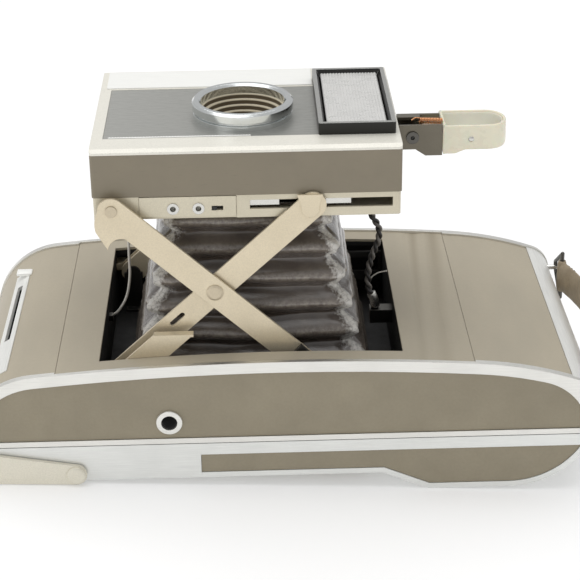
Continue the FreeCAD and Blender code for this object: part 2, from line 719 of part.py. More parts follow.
def bail_screw():
    """Shouldered screw that the bail turns on."""
    y_in = -HALF_WIDTH - BAIL_GAP
    shank = rod_y(BAIL_X, BAIL_Z, PIN_R, y_in - BAIL_T - 0.6, -HALF_WIDTH + 2)
    head = rod_y(BAIL_X, BAIL_Z, 3.2, y_in - BAIL_T - 0.9, y_in - BAIL_T - 0.1)
    solid = fuse(shank, head)
    slot = box(BAIL_X - 3.3, BAIL_X + 3.3, y_in - BAIL_T - 1.0, y_in - BAIL_T - 0.5, BAIL_Z - 0.3, BAIL_Z + 0.3)
    return solid.cut(slot)


# ---- lens board ----
def board_box(inset, z0, z1):
    return rounded_block(
        -BOARD_HALF_X + inset, BOARD_HALF_X - inset,
        -BOARD_HALF_Y + inset, BOARD_HALF_Y - inset, z0, z1, 1.2,
    )


def board_case():
    solid = board_box(0, BAND_Z, FACE_Z).cut(board_box(CASE_WALL, BAND_Z + CASE_WALL, FACE_Z + 1))
    x, y = LENS_X, LENS_Y
    return solid.cut(rod_z(x, y, BARREL_R + 0.1, BAND_Z - 1, BAND_Z + CASE_WALL + 1))


BARREL_R = 15.0
BARREL_Z0 = BAND_Z - 5.5
BARREL_FLANGE_R = 16.6
BELLOWS_TOP_X = 33.0
BELLOWS_TOP_Y = 36.0
SLOT_X0 = 1.0             # slot that the strut slider rides along
SLOT_X1 = 56.0
SLOT_Z0 = PAN_Z + 3.5
SLOT_Z1 = PAN_Z + 7.2
SYNC_X = -11.5            # little switch window
SYNC_W = 4.4
SYNC_H = 1.8
PLUG_X = (-28.6, -18.8)   # flash plug sockets
PLUG_Z = PAN_Z + 4.3
PLUG_R = 1.1
PLUG_RING_R = 2.3
PAN_WALL = 1.4
COVER_X0 = -41.5          # cover that carries the sockets
COVER_X1 = -4.3
COVER_Z0 = PAN_Z + 0.9
COVER_T = 0.5


def rear_pan():
    outer = board_box(0.4, PAN_Z, BAND_Z)
    inner = board_box(0.4 + PAN_WALL, PAN_Z + PAN_WALL, BAND_Z + 1)
    solid = outer.cut(inner)
    solid = solid.cut(box(-BELLOWS_TOP_X, BELLOWS_TOP_X, -BELLOWS_TOP_Y, BELLOWS_TOP_Y, PAN_Z - 1, PAN_Z + 3))
    wall = -BOARD_HALF_Y
    for side in (-1, 1):
        slot = box(SLOT_X0, SLOT_X1, wall - 1, wall + 4, SLOT_Z0, SLOT_Z1)
        ear = rod_y(PIVOT_X, PIVOT_Z, PIN_R, wall - 1, wall + 4)
        for cut in (slot, ear):
            solid = solid.cut(cut if side < 0 else mirrored(cut))
    y0 = wall + 0.4
    cover = box(COVER_X0 - 0.1, COVER_X1 + 0.1, y0 - 1, y0 + COVER_T, COVER_Z0 - 2, BAND_Z + 1)
    solid = solid.cut(cover)
    for x in PLUG_X:
        solid = solid.cut(rod_y(x, PLUG_Z, PLUG_RING_R - 0.4, wall - 1, wall + 4))
    half_w, half_h = SYNC_W / 2, SYNC_H / 2
    window = box(SYNC_X - half_w, SYNC_X + half_w, wall - 1, wall + 4, PLUG_Z - half_h, PLUG_Z + half_h)
    return solid.cut(window).removeSplitter()


def socket_cover():
    """Sheet on the pan's base side that carries the flash sockets and the switch window."""
    y0 = -BOARD_HALF_Y + 0.4
    solid = box(COVER_X0, COVER_X1, y0 - 0.3, y0 + COVER_T, COVER_Z0, BAND_Z - 0.3)
    for x in PLUG_X:
        solid = solid.cut(rod_y(x, PLUG_Z, PLUG_RING_R - 0.4, y0 - 1, y0 + 2))
    return solid.cut(box(
        SYNC_X - SYNC_W / 2, SYNC_X + SYNC_W / 2, y0 - 1, y0 + 2, PLUG_Z - SYNC_H / 2, PLUG_Z + SYNC_H / 2,
    ))


PLUG_DEPTH = 6.0


def plug_socket(x):
    y0 = -BOARD_HALF_Y - 0.3
    ring = rod_y(x, PLUG_Z, PLUG_RING_R, y0, -BOARD_HALF_Y + 0.1)
    sleeve = rod_y(x, PLUG_Z, PLUG_RING_R - 0.4, y0, y0 + PLUG_DEPTH + 1)
    return fuse(ring, sleeve).cut(rod_y(x, PLUG_Z, PLUG_R, y0, y0 + PLUG_DEPTH))


def sync_switch():
    """Thumb slide in the little window; its wings stay behind the pan's wall."""
    inner = -BOARD_HALF_Y + 0.4 + PAN_WALL
    knob = box(SYNC_X - 2.0, SYNC_X - 0.2, -BOARD_HALF_Y - 0.1, inner + 0.2, PLUG_Z - 0.75, PLUG_Z + 0.75)
    wing = box(SYNC_X - 4.0, SYNC_X + 1.8, inner + 0.1, inner + 0.9, PLUG_Z - 1.5, PLUG_Z + 1.5)
    return fuse(knob, wing)


def slot_bar():
    """Lock strip that shows inside the slot."""
    y0 = -BOARD_HALF_Y + 0.4 + PAN_WALL
    return box(SLOT_X0 - 2, SLOT_X0 + 39, y0, y0 + 0.8, SLOT_Z0 + 0.9, SLOT_Z1 + 1.5).cut(
        box(SLOT_X0 + 11.3, SLOT_X0 + 19, y0 - 1, y0 + 2, SLOT_Z0, SLOT_Z1)
    )


def face_plate():
    """Face with a low bevel along its base side, and its plate, lens and photocell openings."""
    solid = board_box(0, FACE_Z, TOP_Z)
    near = -BOARD_HALF_Y
    bevel = [
        (near - 1, TOP_Z + 0.1), (near + FACE_CHAMFER, TOP_Z + 0.1), (near + FACE_CHAMFER, TOP_Z),
        (near, TOP_Z - FACE_DROP), (near - 1, TOP_Z - FACE_DROP),
    ]
    solid = solid.cut(polygon_x(bevel, -BOARD_HALF_X - 1, BOARD_HALF_X + 1))
    solid = solid.cut(box(PLATE_X0, CELL_X0 + 1, PLATE_Y0, PLATE_Y1, TOP_Z - PLATE_T, TOP_Z + 1))
    solid = solid.cut(rod_z(LENS_X, LENS_Y, RING_HOLE_R + 0.8, FACE_Z - 1, TOP_Z + 1))
    x0, x1 = CELL_X0 + CELL_RIM, CELL_X1 - CELL_RIM
    return solid.cut(box(x0, x1, CELL_Y0 + CELL_RIM, CELL_Y1 - CELL_RIM, FACE_Z - 1, TOP_Z + 1))


def polygon_x(points, x0, x1):
    """A closed loop of (y, z) points pulled along X."""
    corners = [V(x0, y, z) for y, z in points]
    return Part.Face(Part.makePolygon(corners + corners[:1])).extrude(V(x1 - x0, 0, 0))


def name_plate():
    z0 = TOP_Z - PLATE_T
    gap = PANEL_GAP
    solid = box(PLATE_X0 + gap, CELL_X0 - gap, PLATE_Y0 + gap, PLATE_Y1 - gap, z0, NAME_TOP)
    return solid.cut(rod_z(LENS_X, LENS_Y, RING_HOLE_R + 0.8, z0 - 1, TOP_Z + 1))


STRIP_T = 0.4


def trim_strip():
    """Bright strip along the face's top side, left blank."""
    return box(PLATE_X0 - 2, CELL_X0 - 0.3, PLATE_Y1 + 1.2, BOARD_HALF_Y - 1.5, TOP_Z, TOP_Z + STRIP_T)


def lens_ring():
    """Bright ring with a waist groove round the lens hood."""
    profile = [
        (RING_HOLE_R + 0.8, 0.0), (RING_R - 0.3, 0.0), (RING_R - 0.3, 1.9), (RING_R - 1.2, 2.2),
        (RING_R - 1.2, 2.9), (RING_R, 3.2), (RING_R, RING_H - 0.9), (RING_R - 0.9, RING_H),
        (RING_HOLE_R + 0.9, RING_H), (RING_HOLE_R, RING_H - 0.9), (RING_HOLE_R, 3.0), (RING_HOLE_R + 0.8, 3.0),
    ]
    return turned(profile, LENS_X, LENS_Y, NAME_TOP)


def lens_hood():
    """Stepped funnel that stops stray light, worked out step by step."""
    top = HOOD_TOP
    rise = HOOD_DEPTH / HOOD_STEPS
    run = (RING_HOLE_R - 0.6 - HOOD_END_R) / HOOD_STEPS
    inner = []
    r = RING_HOLE_R - 0.6
    z = 0.0
    for _ in range(HOOD_STEPS):
        inner += [(r, z), (r, z - rise)]
        r -= run
        z -= rise
    inner.append((HOOD_END_R, z))
    rim = RING_HOLE_R + 0.7
    outer = [(HOOD_END_R, z - 1.2), (HOOD_END_R + 2.5, z - 1.2), (rim, -3.0), (rim, 0.0)]
    return turned(inner + outer, LENS_X, LENS_Y, top)




def lens_barrel():
    """Tube that holds both glasses and the shutter between them."""
    z1 = HOOD_LOW
    floor = BAND_Z + CASE_WALL
    tube = rod_z(LENS_X, LENS_Y, BARREL_R, BARREL_Z0, floor)
    tube = tube.fuse(rod_z(LENS_X, LENS_Y, BARREL_FLANGE_R, floor, floor + 0.8))
    tube = tube.fuse(rod_z(LENS_X, LENS_Y, HOOD_END_R + 2.4, floor, z1))
    tube = tube.cut(rod_z(LENS_X, LENS_Y, HOOD_END_R - 1.0, BARREL_Z0 - 1, z1 + 1))
    tube = tube.cut(rod_z(LENS_X, LENS_Y, HOOD_END_R + 0.6, z1 - 3.0, z1 + 1))
    tube = tube.cut(rod_z(LENS_X, LENS_Y, HOOD_END_R + 0.6, BARREL_Z0 - 1, BARREL_Z0 + 2.6))
    window = box(
        LENS_X - 12, LENS_X + 40, LENS_Y - 11, LENS_Y + 40, SHUTTER_Z - 0.4, SHUTTER_Z + SHUTTER_T + 0.4,
    )
    return tube.cut(window).removeSplitter()


SHUTTER_Z = BAND_Z - 1.6
SHUTTER_T = 0.5
SHUTTER_X = LENS_X + 20.0


def shutter_blade():
    """Disc on an arm that covers the light path until the lever swings it aside."""
    disc = rod_z(LENS_X, LENS_Y, HOOD_END_R + 0.5, SHUTTER_Z, SHUTTER_Z + SHUTTER_T)
    arm = box(LENS_X, SHUTTER_X, LENS_Y - 1.5, LENS_Y + 1.5, SHUTTER_Z, SHUTTER_Z + SHUTTER_T)
    hub = rod_z(SHUTTER_X, LENS_Y, 2.8, SHUTTER_Z, SHUTTER_Z + SHUTTER_T)
    return fuse(disc, arm, hub).cut(rod_z(SHUTTER_X, LENS_Y, 1.0 + RUN_FIT, SHUTTER_Z - 1, SHUTTER_Z + 2))


def shutter_pivot():
    """Stud under the case that the blade turns on."""
    stud = rod_z(SHUTTER_X, LENS_Y, 1.0, SHUTTER_Z - 0.8, BAND_Z)
    head = rod_z(SHUTTER_X, LENS_Y, 1.9, SHUTTER_Z - 0.8, SHUTTER_Z - 0.2)
    return fuse(stud, head)


def lens_glass(z0, thick, bulge):
    """Glass with a convex top, made as a disc under a sphere's cap."""
    r = HOOD_END_R + 0.5
    ball_r = (r * r + bulge * bulge) / (2 * bulge)
    ball = Part.makeSphere(ball_r, V(LENS_X, LENS_Y, z0 + thick + bulge - ball_r))
    return ball.common(rod_z(LENS_X, LENS_Y, r, z0, z0 + thick + bulge + 1))


def cell_block():
    """Raised frame round the photocell window, with sloping inner sides."""
    outer = rounded_block(CELL_X0, CELL_X1, CELL_Y0, CELL_Y1, TOP_Z, TOP_Z + CELL_H, 0.8)
    x0, x1 = CELL_X0 + CELL_RIM, CELL_X1 - CELL_RIM
    y0, y1 = CELL_Y0 + CELL_RIM, CELL_Y1 - CELL_RIM
    solid = outer.cut(box(x0, x1, y0, y1, TOP_Z - 1, TOP_Z + CELL_H + 1))
    flare, depth = 1.6, 2.6
    top = TOP_Z + CELL_H

    def outline_at(grow, z):
        corners = [(x0 - grow, y0 - grow), (x1 + grow, y0 - grow), (x1 + grow, y1 + grow), (x0 - grow, y1 + grow)]
        return Part.makePolygon([V(x, y, z) for x, y in corners + corners[:1]])

    small, big = outline_at(0, top - depth), outline_at(flare, top + 0.001)
    return solid.cut(Part.makeLoft([small, big], True, True))


WINDOW_Z = TOP_Z + CELL_H - 1.1           # window's outside face


def cell_window():
    z1 = WINDOW_Z
    gap = PANEL_GAP
    return box(
        CELL_X0 + CELL_RIM + gap, CELL_X1 - CELL_RIM - gap,
        CELL_Y0 + CELL_RIM + gap, CELL_Y1 - CELL_RIM - gap, z1 - 1.2, z1,
    )


def cell_element():
    """Photocell under the window, with a flange that bears on the face plate from behind."""
    def block(gap, z0, z1):
        return box(
            CELL_X0 + CELL_RIM + gap, CELL_X1 - CELL_RIM - gap,
            CELL_Y0 + CELL_RIM + gap, CELL_Y1 - CELL_RIM - gap, z0, z1,
        )

    return fuse(block(1.0, FACE_Z - 3.0, WINDOW_Z - 1.2), block(-0.8, FACE_Z - 1.0, FACE_Z))


# ---- struts ----
def upper_rivet():
    """Rivet in the pan that the outer strut hangs on."""
    y_in = -BOARD_HALF_Y + 0.4 + PAN_WALL + 0.6
    outside = -OUTER_STRUT_Y - STRUT_T
    shank = rod_y(PIVOT_X, PIVOT_Z, PIN_R, outside - 0.5, y_in)
    head = rod_y(PIVOT_X, PIVOT_Z, PIN_R + 0.7, outside - 0.6, outside - 0.1)
    spacer = rod_y(PIVOT_X, PIVOT_Z, PIN_R + 0.8, -OUTER_STRUT_Y + 0.1, -BOARD_HALF_Y + 0.4)
    return fuse(shank, head, spacer)


def outer_strut():
    """Strut from the lens board's upper left to the body's lower right, with its broad hooked head."""
    y0, y1 = -OUTER_STRUT_Y - STRUT_T, -OUTER_STRUT_Y
    bar = strip((PIVOT_X, PIVOT_Z), (SLIDE_X, FOOT_Z), STRUT_W, y0, y1)
    px, pz = PIVOT_X, PIVOT_Z
    head = slab(
        [
            arc((px - 6.3, pz - 8.5), (px - 5.9, pz - 1.5), (px, pz + STRUT_W / 2)),
            line((px, pz + STRUT_W / 2), (px + 9.7, pz - 5.0)),
            line((px + 9.7, pz - 5.0), (px + 8.2, pz - 14.6)),
            arc((px + 8.2, pz - 14.6), (px + 3.4, pz - 11.4), (px - 2.0, pz - 16.1)),
            line((px - 2.0, pz - 16.1), (px - 6.3, pz - 8.5)),
        ],
        y0, y1,
    )
    solid = fuse(bar, head)
    solid = solid.cut(rod_y(PIVOT_X, PIVOT_Z, PIN_R + RUN_FIT, y0 - 1, y1 + 1))
    foot = rod_y(SLIDE_X, FOOT_Z, PIN_R, y0 - 4.4, y1)
    return fuse(solid, foot)


def cross_rivet():
    """Large-headed rivet where the struts cross, held by the outer one."""
    outside = -OUTER_STRUT_Y - STRUT_T
    head = turned([(0, 0), (3.3, 0), (3.3, 0.35), (2.4, 0.75), (0, 0.9)], 0, 0, 0)
    head.rotate(V(0, 0, 0), V(1, 0, 0), 90)
    head.translate(V(CROSS_X, outside, CROSS_Z))
    washer = rod_y(CROSS_X, CROSS_Z, 2.6, -OUTER_STRUT_Y, -INNER_STRUT_Y - STRUT_T - 0.2)
    return [head, washer]


def inner_strut():
    """Strut from the body's lower left to the slider on the lens board, with its locking slot."""
    y0, y1 = -INNER_STRUT_Y - STRUT_T, -INNER_STRUT_Y
    solid = strip((PIVOT_X, FOOT_Z), (SLIDE_X, PIVOT_Z), STRUT_W, y0, y1)
    solid = solid.cut(rod_y(PIVOT_X, FOOT_Z, PIN_R + RUN_FIT, y0 - 1, y1 + 1))
    c, s = math.cos(ANGLE), math.sin(ANGLE)
    a, b = 30.0, 35.5
    side = 1.2
    slot = strip(
        (PIVOT_X + a * c - side * s, FOOT_Z + a * s + side * c),
        (PIVOT_X + b * c - side * s, FOOT_Z + b * s + side * c), 1.9, y0 - 1, y1 + 1,
    )
    return solid.cut(slot)


def slider():
    """Shield-shaped slider riveted to the inner strut's top."""
    y1 = -INNER_STRUT_Y - STRUT_T
    y0 = y1 - 0.8
    x, z = SLIDE_X - 1.0, PIVOT_Z
    half = 5.0
    top = z + 4.6
    edges = [
        line((x - half, top), (x + half, top)),
        line((x + half, top), (x + half - 1.6, z - 0.6)),
        arc((x + half - 1.6, z - 0.6), (x, z - 4.8), (x - half + 1.6, z - 0.6)),
        line((x - half + 1.6, z - 0.6), (x - half, top)),
    ]
    return slab(edges, y0, y1)


# ---- release lever ----
def lever_channel():
    """Bent sheet channel with a stepped underside."""
    y0, y1 = LEVER_Y, LEVER_Y + LEVER_DEPTH
    px, pz = LEVER_PIVOT
    x0 = BOARD_HALF_X + 0.6
    top, low = LEVER_TOP, LEVER_BOTTOM
    side = [
        (x0, top), (LEVER_END, top), (LEVER_END, low), (px + 5.2, low),
        (px + 1.2, low + 2.7), (x0 + 1.4, low + 2.7), (x0, low + 4.1),
    ]
    solid = polygon(side, y0, y0 + LEVER_T).fuse(polygon(side, y1 - LEVER_T, y1))
    web = box(px + 5.2, LEVER_END, y0, y1, low, low + LEVER_T)
    solid = solid.fuse(web)
    solid = solid.fuse(box(x0, LEVER_END - 8, y1 - LEVER_T - 3, y1, top - LEVER_T, top))
    return solid.cut(rod_y(px, pz, PIN_R + RUN_FIT, y0 - 1, y1 + 1)).removeSplitter()


def loop_plan(inset, z0, z1):
    """Long loop in plan, rounded at its outer end, between two heights."""
    y0, y1 = LOOP_Y0 + inset, LOOP_Y1 - inset
    x0, x1 = LOOP_X0 + inset, LOOP_END - (LOOP_Y1 - LOOP_Y0) / 2
    edges = [
        line((x0, y0), (x1, y0)), arc((x1, y0), (LOOP_END - inset, (y0 + y1) / 2), (x1, y1)),
        line((x1, y1), (x0, y1)), line((x0, y1), (x0, y0)),
    ]
    face = Part.Face(Part.Wire(edges))
    face.rotate(V(0, 0, 0), V(1, 0, 0), -90)
    face.translate(V(0, 0, z0))
    return face.extrude(V(0, 0, z1 - z0))


def finger_loop():
    """Flat band bent into a long loop, with its tang between the channel's cheeks."""
    z0, z1 = LEVER_BOTTOM + 0.6, LEVER_TOP - 0.4
    loop = loop_plan(0, z0, z1).cut(loop_plan(LOOP_T, z0 - 1, z1 + 1))
    loop = loop.cut(box(LOOP_X0 + 7, LOOP_END + 1, LOOP_Y0 - 1, LOOP_Y1 + 1, z0 - 1, z0 + 1.6))
    tang_y0, tang_y1 = LEVER_Y + LEVER_T + 0.2, LEVER_Y + LEVER_DEPTH - LEVER_T - 0.2
    tang = box(LEVER_END - 7, LOOP_X0 + LOOP_T, tang_y0, tang_y1, LEVER_BOTTOM + LEVER_T, z1 - 1.5)
    return fuse(loop, tang)


def lever_pin():
    px, pz = LEVER_PIVOT
    y0, y1 = LEVER_Y, LEVER_Y + LEVER_DEPTH
    shank = rod_y(px, pz, PIN_R, y0 - 0.6, y1 + 0.6)
    ends = [rod_y(px, pz, PIN_R + 0.9, y0 - 0.7, y0 - 0.1), rod_y(px, pz, PIN_R + 0.9, y1 + 0.1, y1 + 0.7)]
    solid = fuse(shank, *ends)
    return solid.cut(rod_y(px, pz, 0.8, y0 - 1.2, y0 - 0.2))


def lever_bracket():
    """Block on the lens board's end that carries the lever's pin between the channel's cheeks."""
    px, pz = LEVER_PIVOT
    y0 = LEVER_Y + LEVER_T + 0.3
    y1 = LEVER_Y + LEVER_DEPTH - LEVER_T - 3.3
    block = box(BOARD_HALF_X, px, y0, y1, pz - 2.6, pz + 2.6)
    return fuse(block, rod_y(px, pz, 2.6, y0, y1)).cut(rod_y(px, pz, PIN_R, y0 - 1, y1 + 1))


# ---- bellows and leads ----
PLEATS = 7
BELLOWS_LOW_X = 53.0
BELLOWS_LOW_Y = 43.0
PLEAT_DEPTH = 3.0
BELLOWS_WALL = 1.6


def bellows():
    """Pleated, tapering box from the film gate to the lens board."""
    z0, z1 = GATE_TOP, PAN_Z
    levels = 2 * PLEATS

    def shell(draw_in):
        wires = []
        for i in range(levels + 1):
            f = i / levels
            x = BELLOWS_LOW_X + (BELLOWS_TOP_X - BELLOWS_LOW_X) * f
            y = BELLOWS_LOW_Y + (BELLOWS_TOP_Y - BELLOWS_LOW_Y) * f
            fold = draw_in if i % 2 else draw_in + PLEAT_DEPTH
            x, y = x - fold, y - fold
            z = z0 + (z1 - z0) * f
            wires.append(Part.makePolygon([V(-x, -y, z), V(x, -y, z), V(x, y, z), V(-x, y, z), V(-x, -y, z)]))
        return Part.makeLoft(wires, True, True)

    return shell(0).cut(shell(BELLOWS_WALL))


def bent_tube(points, r):
    """Round lead along straight runs joined by tangent arcs, each as large as its two runs allow."""
    pts = [V(*p) for p in points]
    edges = []
    start = pts[0]
    for a, b, c in zip(pts, pts[1:], pts[2:]):
        u, w = (a - b).normalize(), (c - b).normalize()
        turn = math.pi - u.getAngle(w)
        short = min((a - b).Length, (c - b).Length)
        radius = 0.45 * short / math.tan(turn / 2)
        back = radius * math.tan(turn / 2)
        p, q = b + u * back, b + w * back
        half = (u + w).normalize()
        centre = b + half * (radius / math.cos(turn / 2))
        mid = centre + (b - centre).normalize() * radius
        edges.append(Part.LineSegment(start, p).toShape())
        edges.append(Part.Arc(p, mid, q).toShape())
        start = q
    edges.append(Part.LineSegment(start, pts[-1]).toShape())
    path = Part.Wire(edges)
    first = (pts[1] - pts[0]).normalize()
    circle = Part.Wire([Part.Circle(pts[0], first, r).toShape()])
    tube = path.makePipeShell([circle], True, False)
    return tube


CELL_LEAD_R = 1.1
CELL_LEAD = [
    (50.5, 6.0, PAN_Z), (50.5, 6.0, 104.5), (53.8, 5.0, 95.0), (54.6, 4.0, 85.5), (52.2, 2.5, 76.5),
    (50.6, 1.0, 67.5), (51.6, -0.5, 59.5), (53.0, -1.0, 55.0), (53.0, -1.0, 51.0),
]
FLASH_LEAD_R = 0.55
FLASH_LEAD = [
    (-49.0, 0.0, PAN_Z), (-49.0, 0.0, 103.0), (-49.6, 0.0, 90.0), (-50.0, 0.0, 79.0),
    (-50.2, 0.0, 68.0), (-52.0, 0.0, 58.5), (-55.6, 0.0, 52.0), (-58.6, 0.0, 49.6),
]


def lead_clip():
    """Folded metal clip on the bulkhead that the cell lead goes into."""
    x, y, z = CELL_LEAD[-1]
    block = box(x - 2.4, BAY_X, y - 3.0, y + 3.0, z - 6.0, z)
    return block.cut(box(x - 1.4, BAY_X - 1.2, y - 1.6, y + 1.6, z - 7.0, z - 1.2))


def lead_eyelet():
    """Lug on the left bulkhead that the flash lead hooks into."""
    x, y, z = FLASH_LEAD[-1]
    lug = box(-BAY_X, x + 0.4, y - 1.6, y + 1.6, z - 2.0, z + 0.6)
    end = V(x, y, z)
    back = V(*FLASH_LEAD[-2]) - end
    return lug.cut(Part.makeCylinder(FLASH_LEAD_R, 3.0, end, back))


# ---- hand strap ----
EYE_X = TIP_R - CAP_INSET + WIRE_OFF      # where the wires turn about
WIRE_HALF = STRAP_W / 2 + LOOP_WIRE_R + 2.4


def strap_lug():
    """Headed post that stands out of the end cap, through the wire."""
    skin = TIP_R - CAP_INSET
    head = EYE_X + LUG_HEAD_R
    solid = rod_x(skin - 15.0, head + LUG_HEAD_T, -LUG_Y, LUG_Z, LUG_R)
    solid = solid.fuse(rod_x(head, head + LUG_HEAD_T, -LUG_Y, LUG_Z, LUG_HEAD_R))
    return solid.cut(slab(outline(CAP_INSET, SEAM_Z), -INNER_Y, INNER_Y))


def rod_x(x0, x1, y, z, r):
    return Part.makeCylinder(r, x1 - x0, V(x0, y, z), V(1, 0, 0))


def strap_wire():
    """Wire loop that spreads from the lug post to the strap's end."""
    out = EYE_X + STRAP_OUT
    loop = [
        V(EYE_X, -WIRE_END_Y, LUG_Z - WIRE_END_HALF),
        V(EYE_X, -WIRE_END_Y, LUG_Z + WIRE_END_HALF),
        V(out, -STRAP_END_Y, LUG_Z + WIRE_HALF),
        V(out, -STRAP_END_Y, LUG_Z - WIRE_HALF),
    ]
    pieces = []
    for a, b in zip(loop, loop[1:] + loop[:1]):
        d = b - a
        pieces.append(Part.makeCylinder(LOOP_WIRE_R, d.Length, a, d))
        pieces.append(Part.makeSphere(LOOP_WIRE_R, a))
    return fuse(pieces[0], *pieces[1:])


def hand_strap():
    """Leather band between the two wire loops, bowed outwards."""
    x0 = EYE_X + STRAP_OUT
    y0 = -STRAP_END_Y
    eye_r = LOOP_WIRE_R
    mid_x = x0 + STRAP_BULGE
    t = STRAP_T

    def band(d):
        return Part.Arc(V(x0 + d, y0, 0), V(mid_x + d, 0, 0), V(x0 + d, -y0, 0)).toShape()

    outer, inner = band(t / 2), band(-t / 2)
    ends = [
        Part.LineSegment(V(x0 + t / 2, y0, 0), V(x0 - t / 2, y0, 0)).toShape(),
        Part.LineSegment(V(x0 + t / 2, -y0, 0), V(x0 - t / 2, -y0, 0)).toShape(),
    ]
    face = Part.Face(Part.Wire(Part.__sortEdges__([outer, inner] + ends)))
    face.translate(V(0, 0, LUG_Z - STRAP_W / 2))
    solid = face.extrude(V(0, 0, STRAP_W))
    for y in (y0, -y0):
        solid = solid.fuse(rod_z(x0, y, eye_r + 1.5, LUG_Z - STRAP_W / 2, LUG_Z + STRAP_W / 2))
    for y in (y0, -y0):
        solid = solid.cut(rod_z(x0, y, eye_r, LUG_Z - STRAP_W, LUG_Z + STRAP_W))
    return solid.removeSplitter()


# ---- viewfinder on the top side ----
FINDER_X = -14.0
FINDER_W = 34.0
FINDER_H = 13.0
FINDER_Z0 = 27.0
FINDER_Z1 = 52.0
FINDER_Y = INNER_Y + PANEL_T
FINDER_FLOOR = FINDER_Y + 1.8


def finder_case():
    y0, y1 = FINDER_Y, HALF_WIDTH + FINDER_H
    x0, x1 = FINDER_X - FINDER_W / 2, FINDER_X + FINDER_W / 2
    solid = rounded_y(x0, x1, y0, y1, FINDER_Z0, FINDER_Z1, 2.0)
    bore = box(x0 + 3, x1 - 3, FINDER_FLOOR, y1 - 2, FINDER_Z0 - 1, FINDER_Z1 + 1)
    return solid.cut(bore)


def rounded_y(x0, x1, y0, y1, z0, z1, r):
    solid = box(x0, x1, y0, y1, z0, z1)
    outer = [
        e for e in solid.Edges
        if abs(e.tangentAt(e.FirstParameter).z) > 0.99 and e.CenterOfMass.y > (y0 + y1) / 2
    ]
    return solid.makeFillet(r, outer)


def finder_glass(z):
    gap = PANEL_GAP
    x0, x1 = FINDER_X - FINDER_W / 2 + 3, FINDER_X + FINDER_W / 2 - 3
    return box(x0 + gap, x1 - gap, FINDER_FLOOR, HALF_WIDTH + FINDER_H - 2 - gap, z, z + 1.2)


def build():
    """Every node by name, in the order in which the camera would be put together."""
    os.makedirs("parts", exist_ok=True)
    save("chassis", chassis())
    save("side_frames", both_sides(side_frame()))
    save("side_panels", Part.makeCompound([side_panel(True), mirrored(side_panel(False))]))
    save("front_deck", front_deck())
    save("left_deck", left_deck())
    save("right_deck", right_deck())
    save("end_cap", end_cap())
    save("tab_strip", tab_strip())
    save("tripod_socket", tripod_socket())
    save("strut_posts", both_sides(strut_post()))
    save("strut_guides", both_sides(strut_guide()))
    save("strut_catches", both_sides(strut_catch()))
    save("body_roller", roller(BODY_ROLLER_Z))
    root = left_height(ROLLER_X, CHASSIS_INSET + CHASSIS_T)
    inside = slab(outline(CHASSIS_INSET + CHASSIS_T, SEAM_Z), -WALL_Y, WALL_Y)
    save("body_roller_cheeks", both_sides(cheek(BODY_ROLLER_Z, root + 4).common(inside)))
    save("hinge_barrels_body", Part.makeCompound(hinge_knuckles(False)))
    save("hinge_pin", hinge_pin())
    save("finder_case", finder_case())
    save("finder_lenses", Part.makeCompound([finder_glass(FINDER_Z0 + 0.8), finder_glass(FINDER_Z1 - 2.0)]))
    save("strap_lugs", both_sides(strap_lug()))
    save("strap_wires", both_sides(strap_wire()))
    save("hand_strap", hand_strap())
    save("lead_anchors", Part.makeCompound([lead_clip(), lead_eyelet()]))

    save("door_shell", door_shell())
    save("door_inlays", both_sides(door_inlay()))
    save("back_panels", Part.makeCompound([back_panel(0), back_panel(1)]))
    save("pressure_plate", pressure_plate())
    save("hinge_barrels_door", Part.makeCompound(hinge_knuckles(True)))
    save("door_roller", roller(DOOR_ROLLER_Z))
    save("door_roller_cheeks", both_sides(cheek(DOOR_ROLLER_Z, BACK_Z + DOOR_WALL)))
    save("latch_bail", latch_bail())
    save("bail_screws", both_sides(bail_screw()))

    save("board_case", board_case())
    save("rear_pan", rear_pan())
    save("socket_cover", socket_cover())
    save("flash_sockets", Part.makeCompound([plug_socket(x) for x in PLUG_X]))
    save("sync_switch", sync_switch())
    save("slot_bars", both_sides(slot_bar()))
    save("face_plate", face_plate())
    save("name_plate", name_plate())
    save("trim_strip", trim_strip())
    save("lens_ring", lens_ring())
    save("lens_hood", lens_hood())
    save("lens_barrel", lens_barrel())
    glasses = [lens_glass(HOOD_LOW - 3.0, 1.4, 1.2), lens_glass(BARREL_Z0 + 0.9, 1.4, 0.8)]
    save("lens_glasses", Part.makeCompound(glasses))
    save("shutter_blade", shutter_blade())
    save("cell_block", cell_block())
    save("cell_window", cell_window())
    save("cell_element", cell_element())
    save("board_rivets", Part.makeCompound([upper_rivet(), mirrored(upper_rivet()), shutter_pivot()]))
    save("outer_struts", both_sides(outer_strut()))
    rivets = cross_rivet()
    save("cross_rivets", Part.makeCompound([r for p in rivets for r in (p, mirrored(p))]))
    save("inner_struts", both_sides(inner_strut()))
    save("strut_sliders", both_sides(slider()))
    save("lever_bracket", lever_bracket())
    save("lever_channel", lever_channel())
    save("finger_loop", finger_loop())
    save("lever_pin", lever_pin())
    save("bellows", bellows())
    save("cell_lead", bent_tube(CELL_LEAD, CELL_LEAD_R))
    save("flash_lead", bent_tube(FLASH_LEAD, FLASH_LEAD_R))


build()
print(len(saved), "nodes")
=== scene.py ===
"""Looks of the folding roll-film camera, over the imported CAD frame.

Sizes are millimetres in the CAD drawing's own axes (x = 0 on the lens board's middle, y = 0 on the body's
middle plane, z = 0 on the lowest face of the back); at() turns them into the frame's own metres.
"""

import math

import bpy
import numpy as np
from mathutils import Matrix, Vector


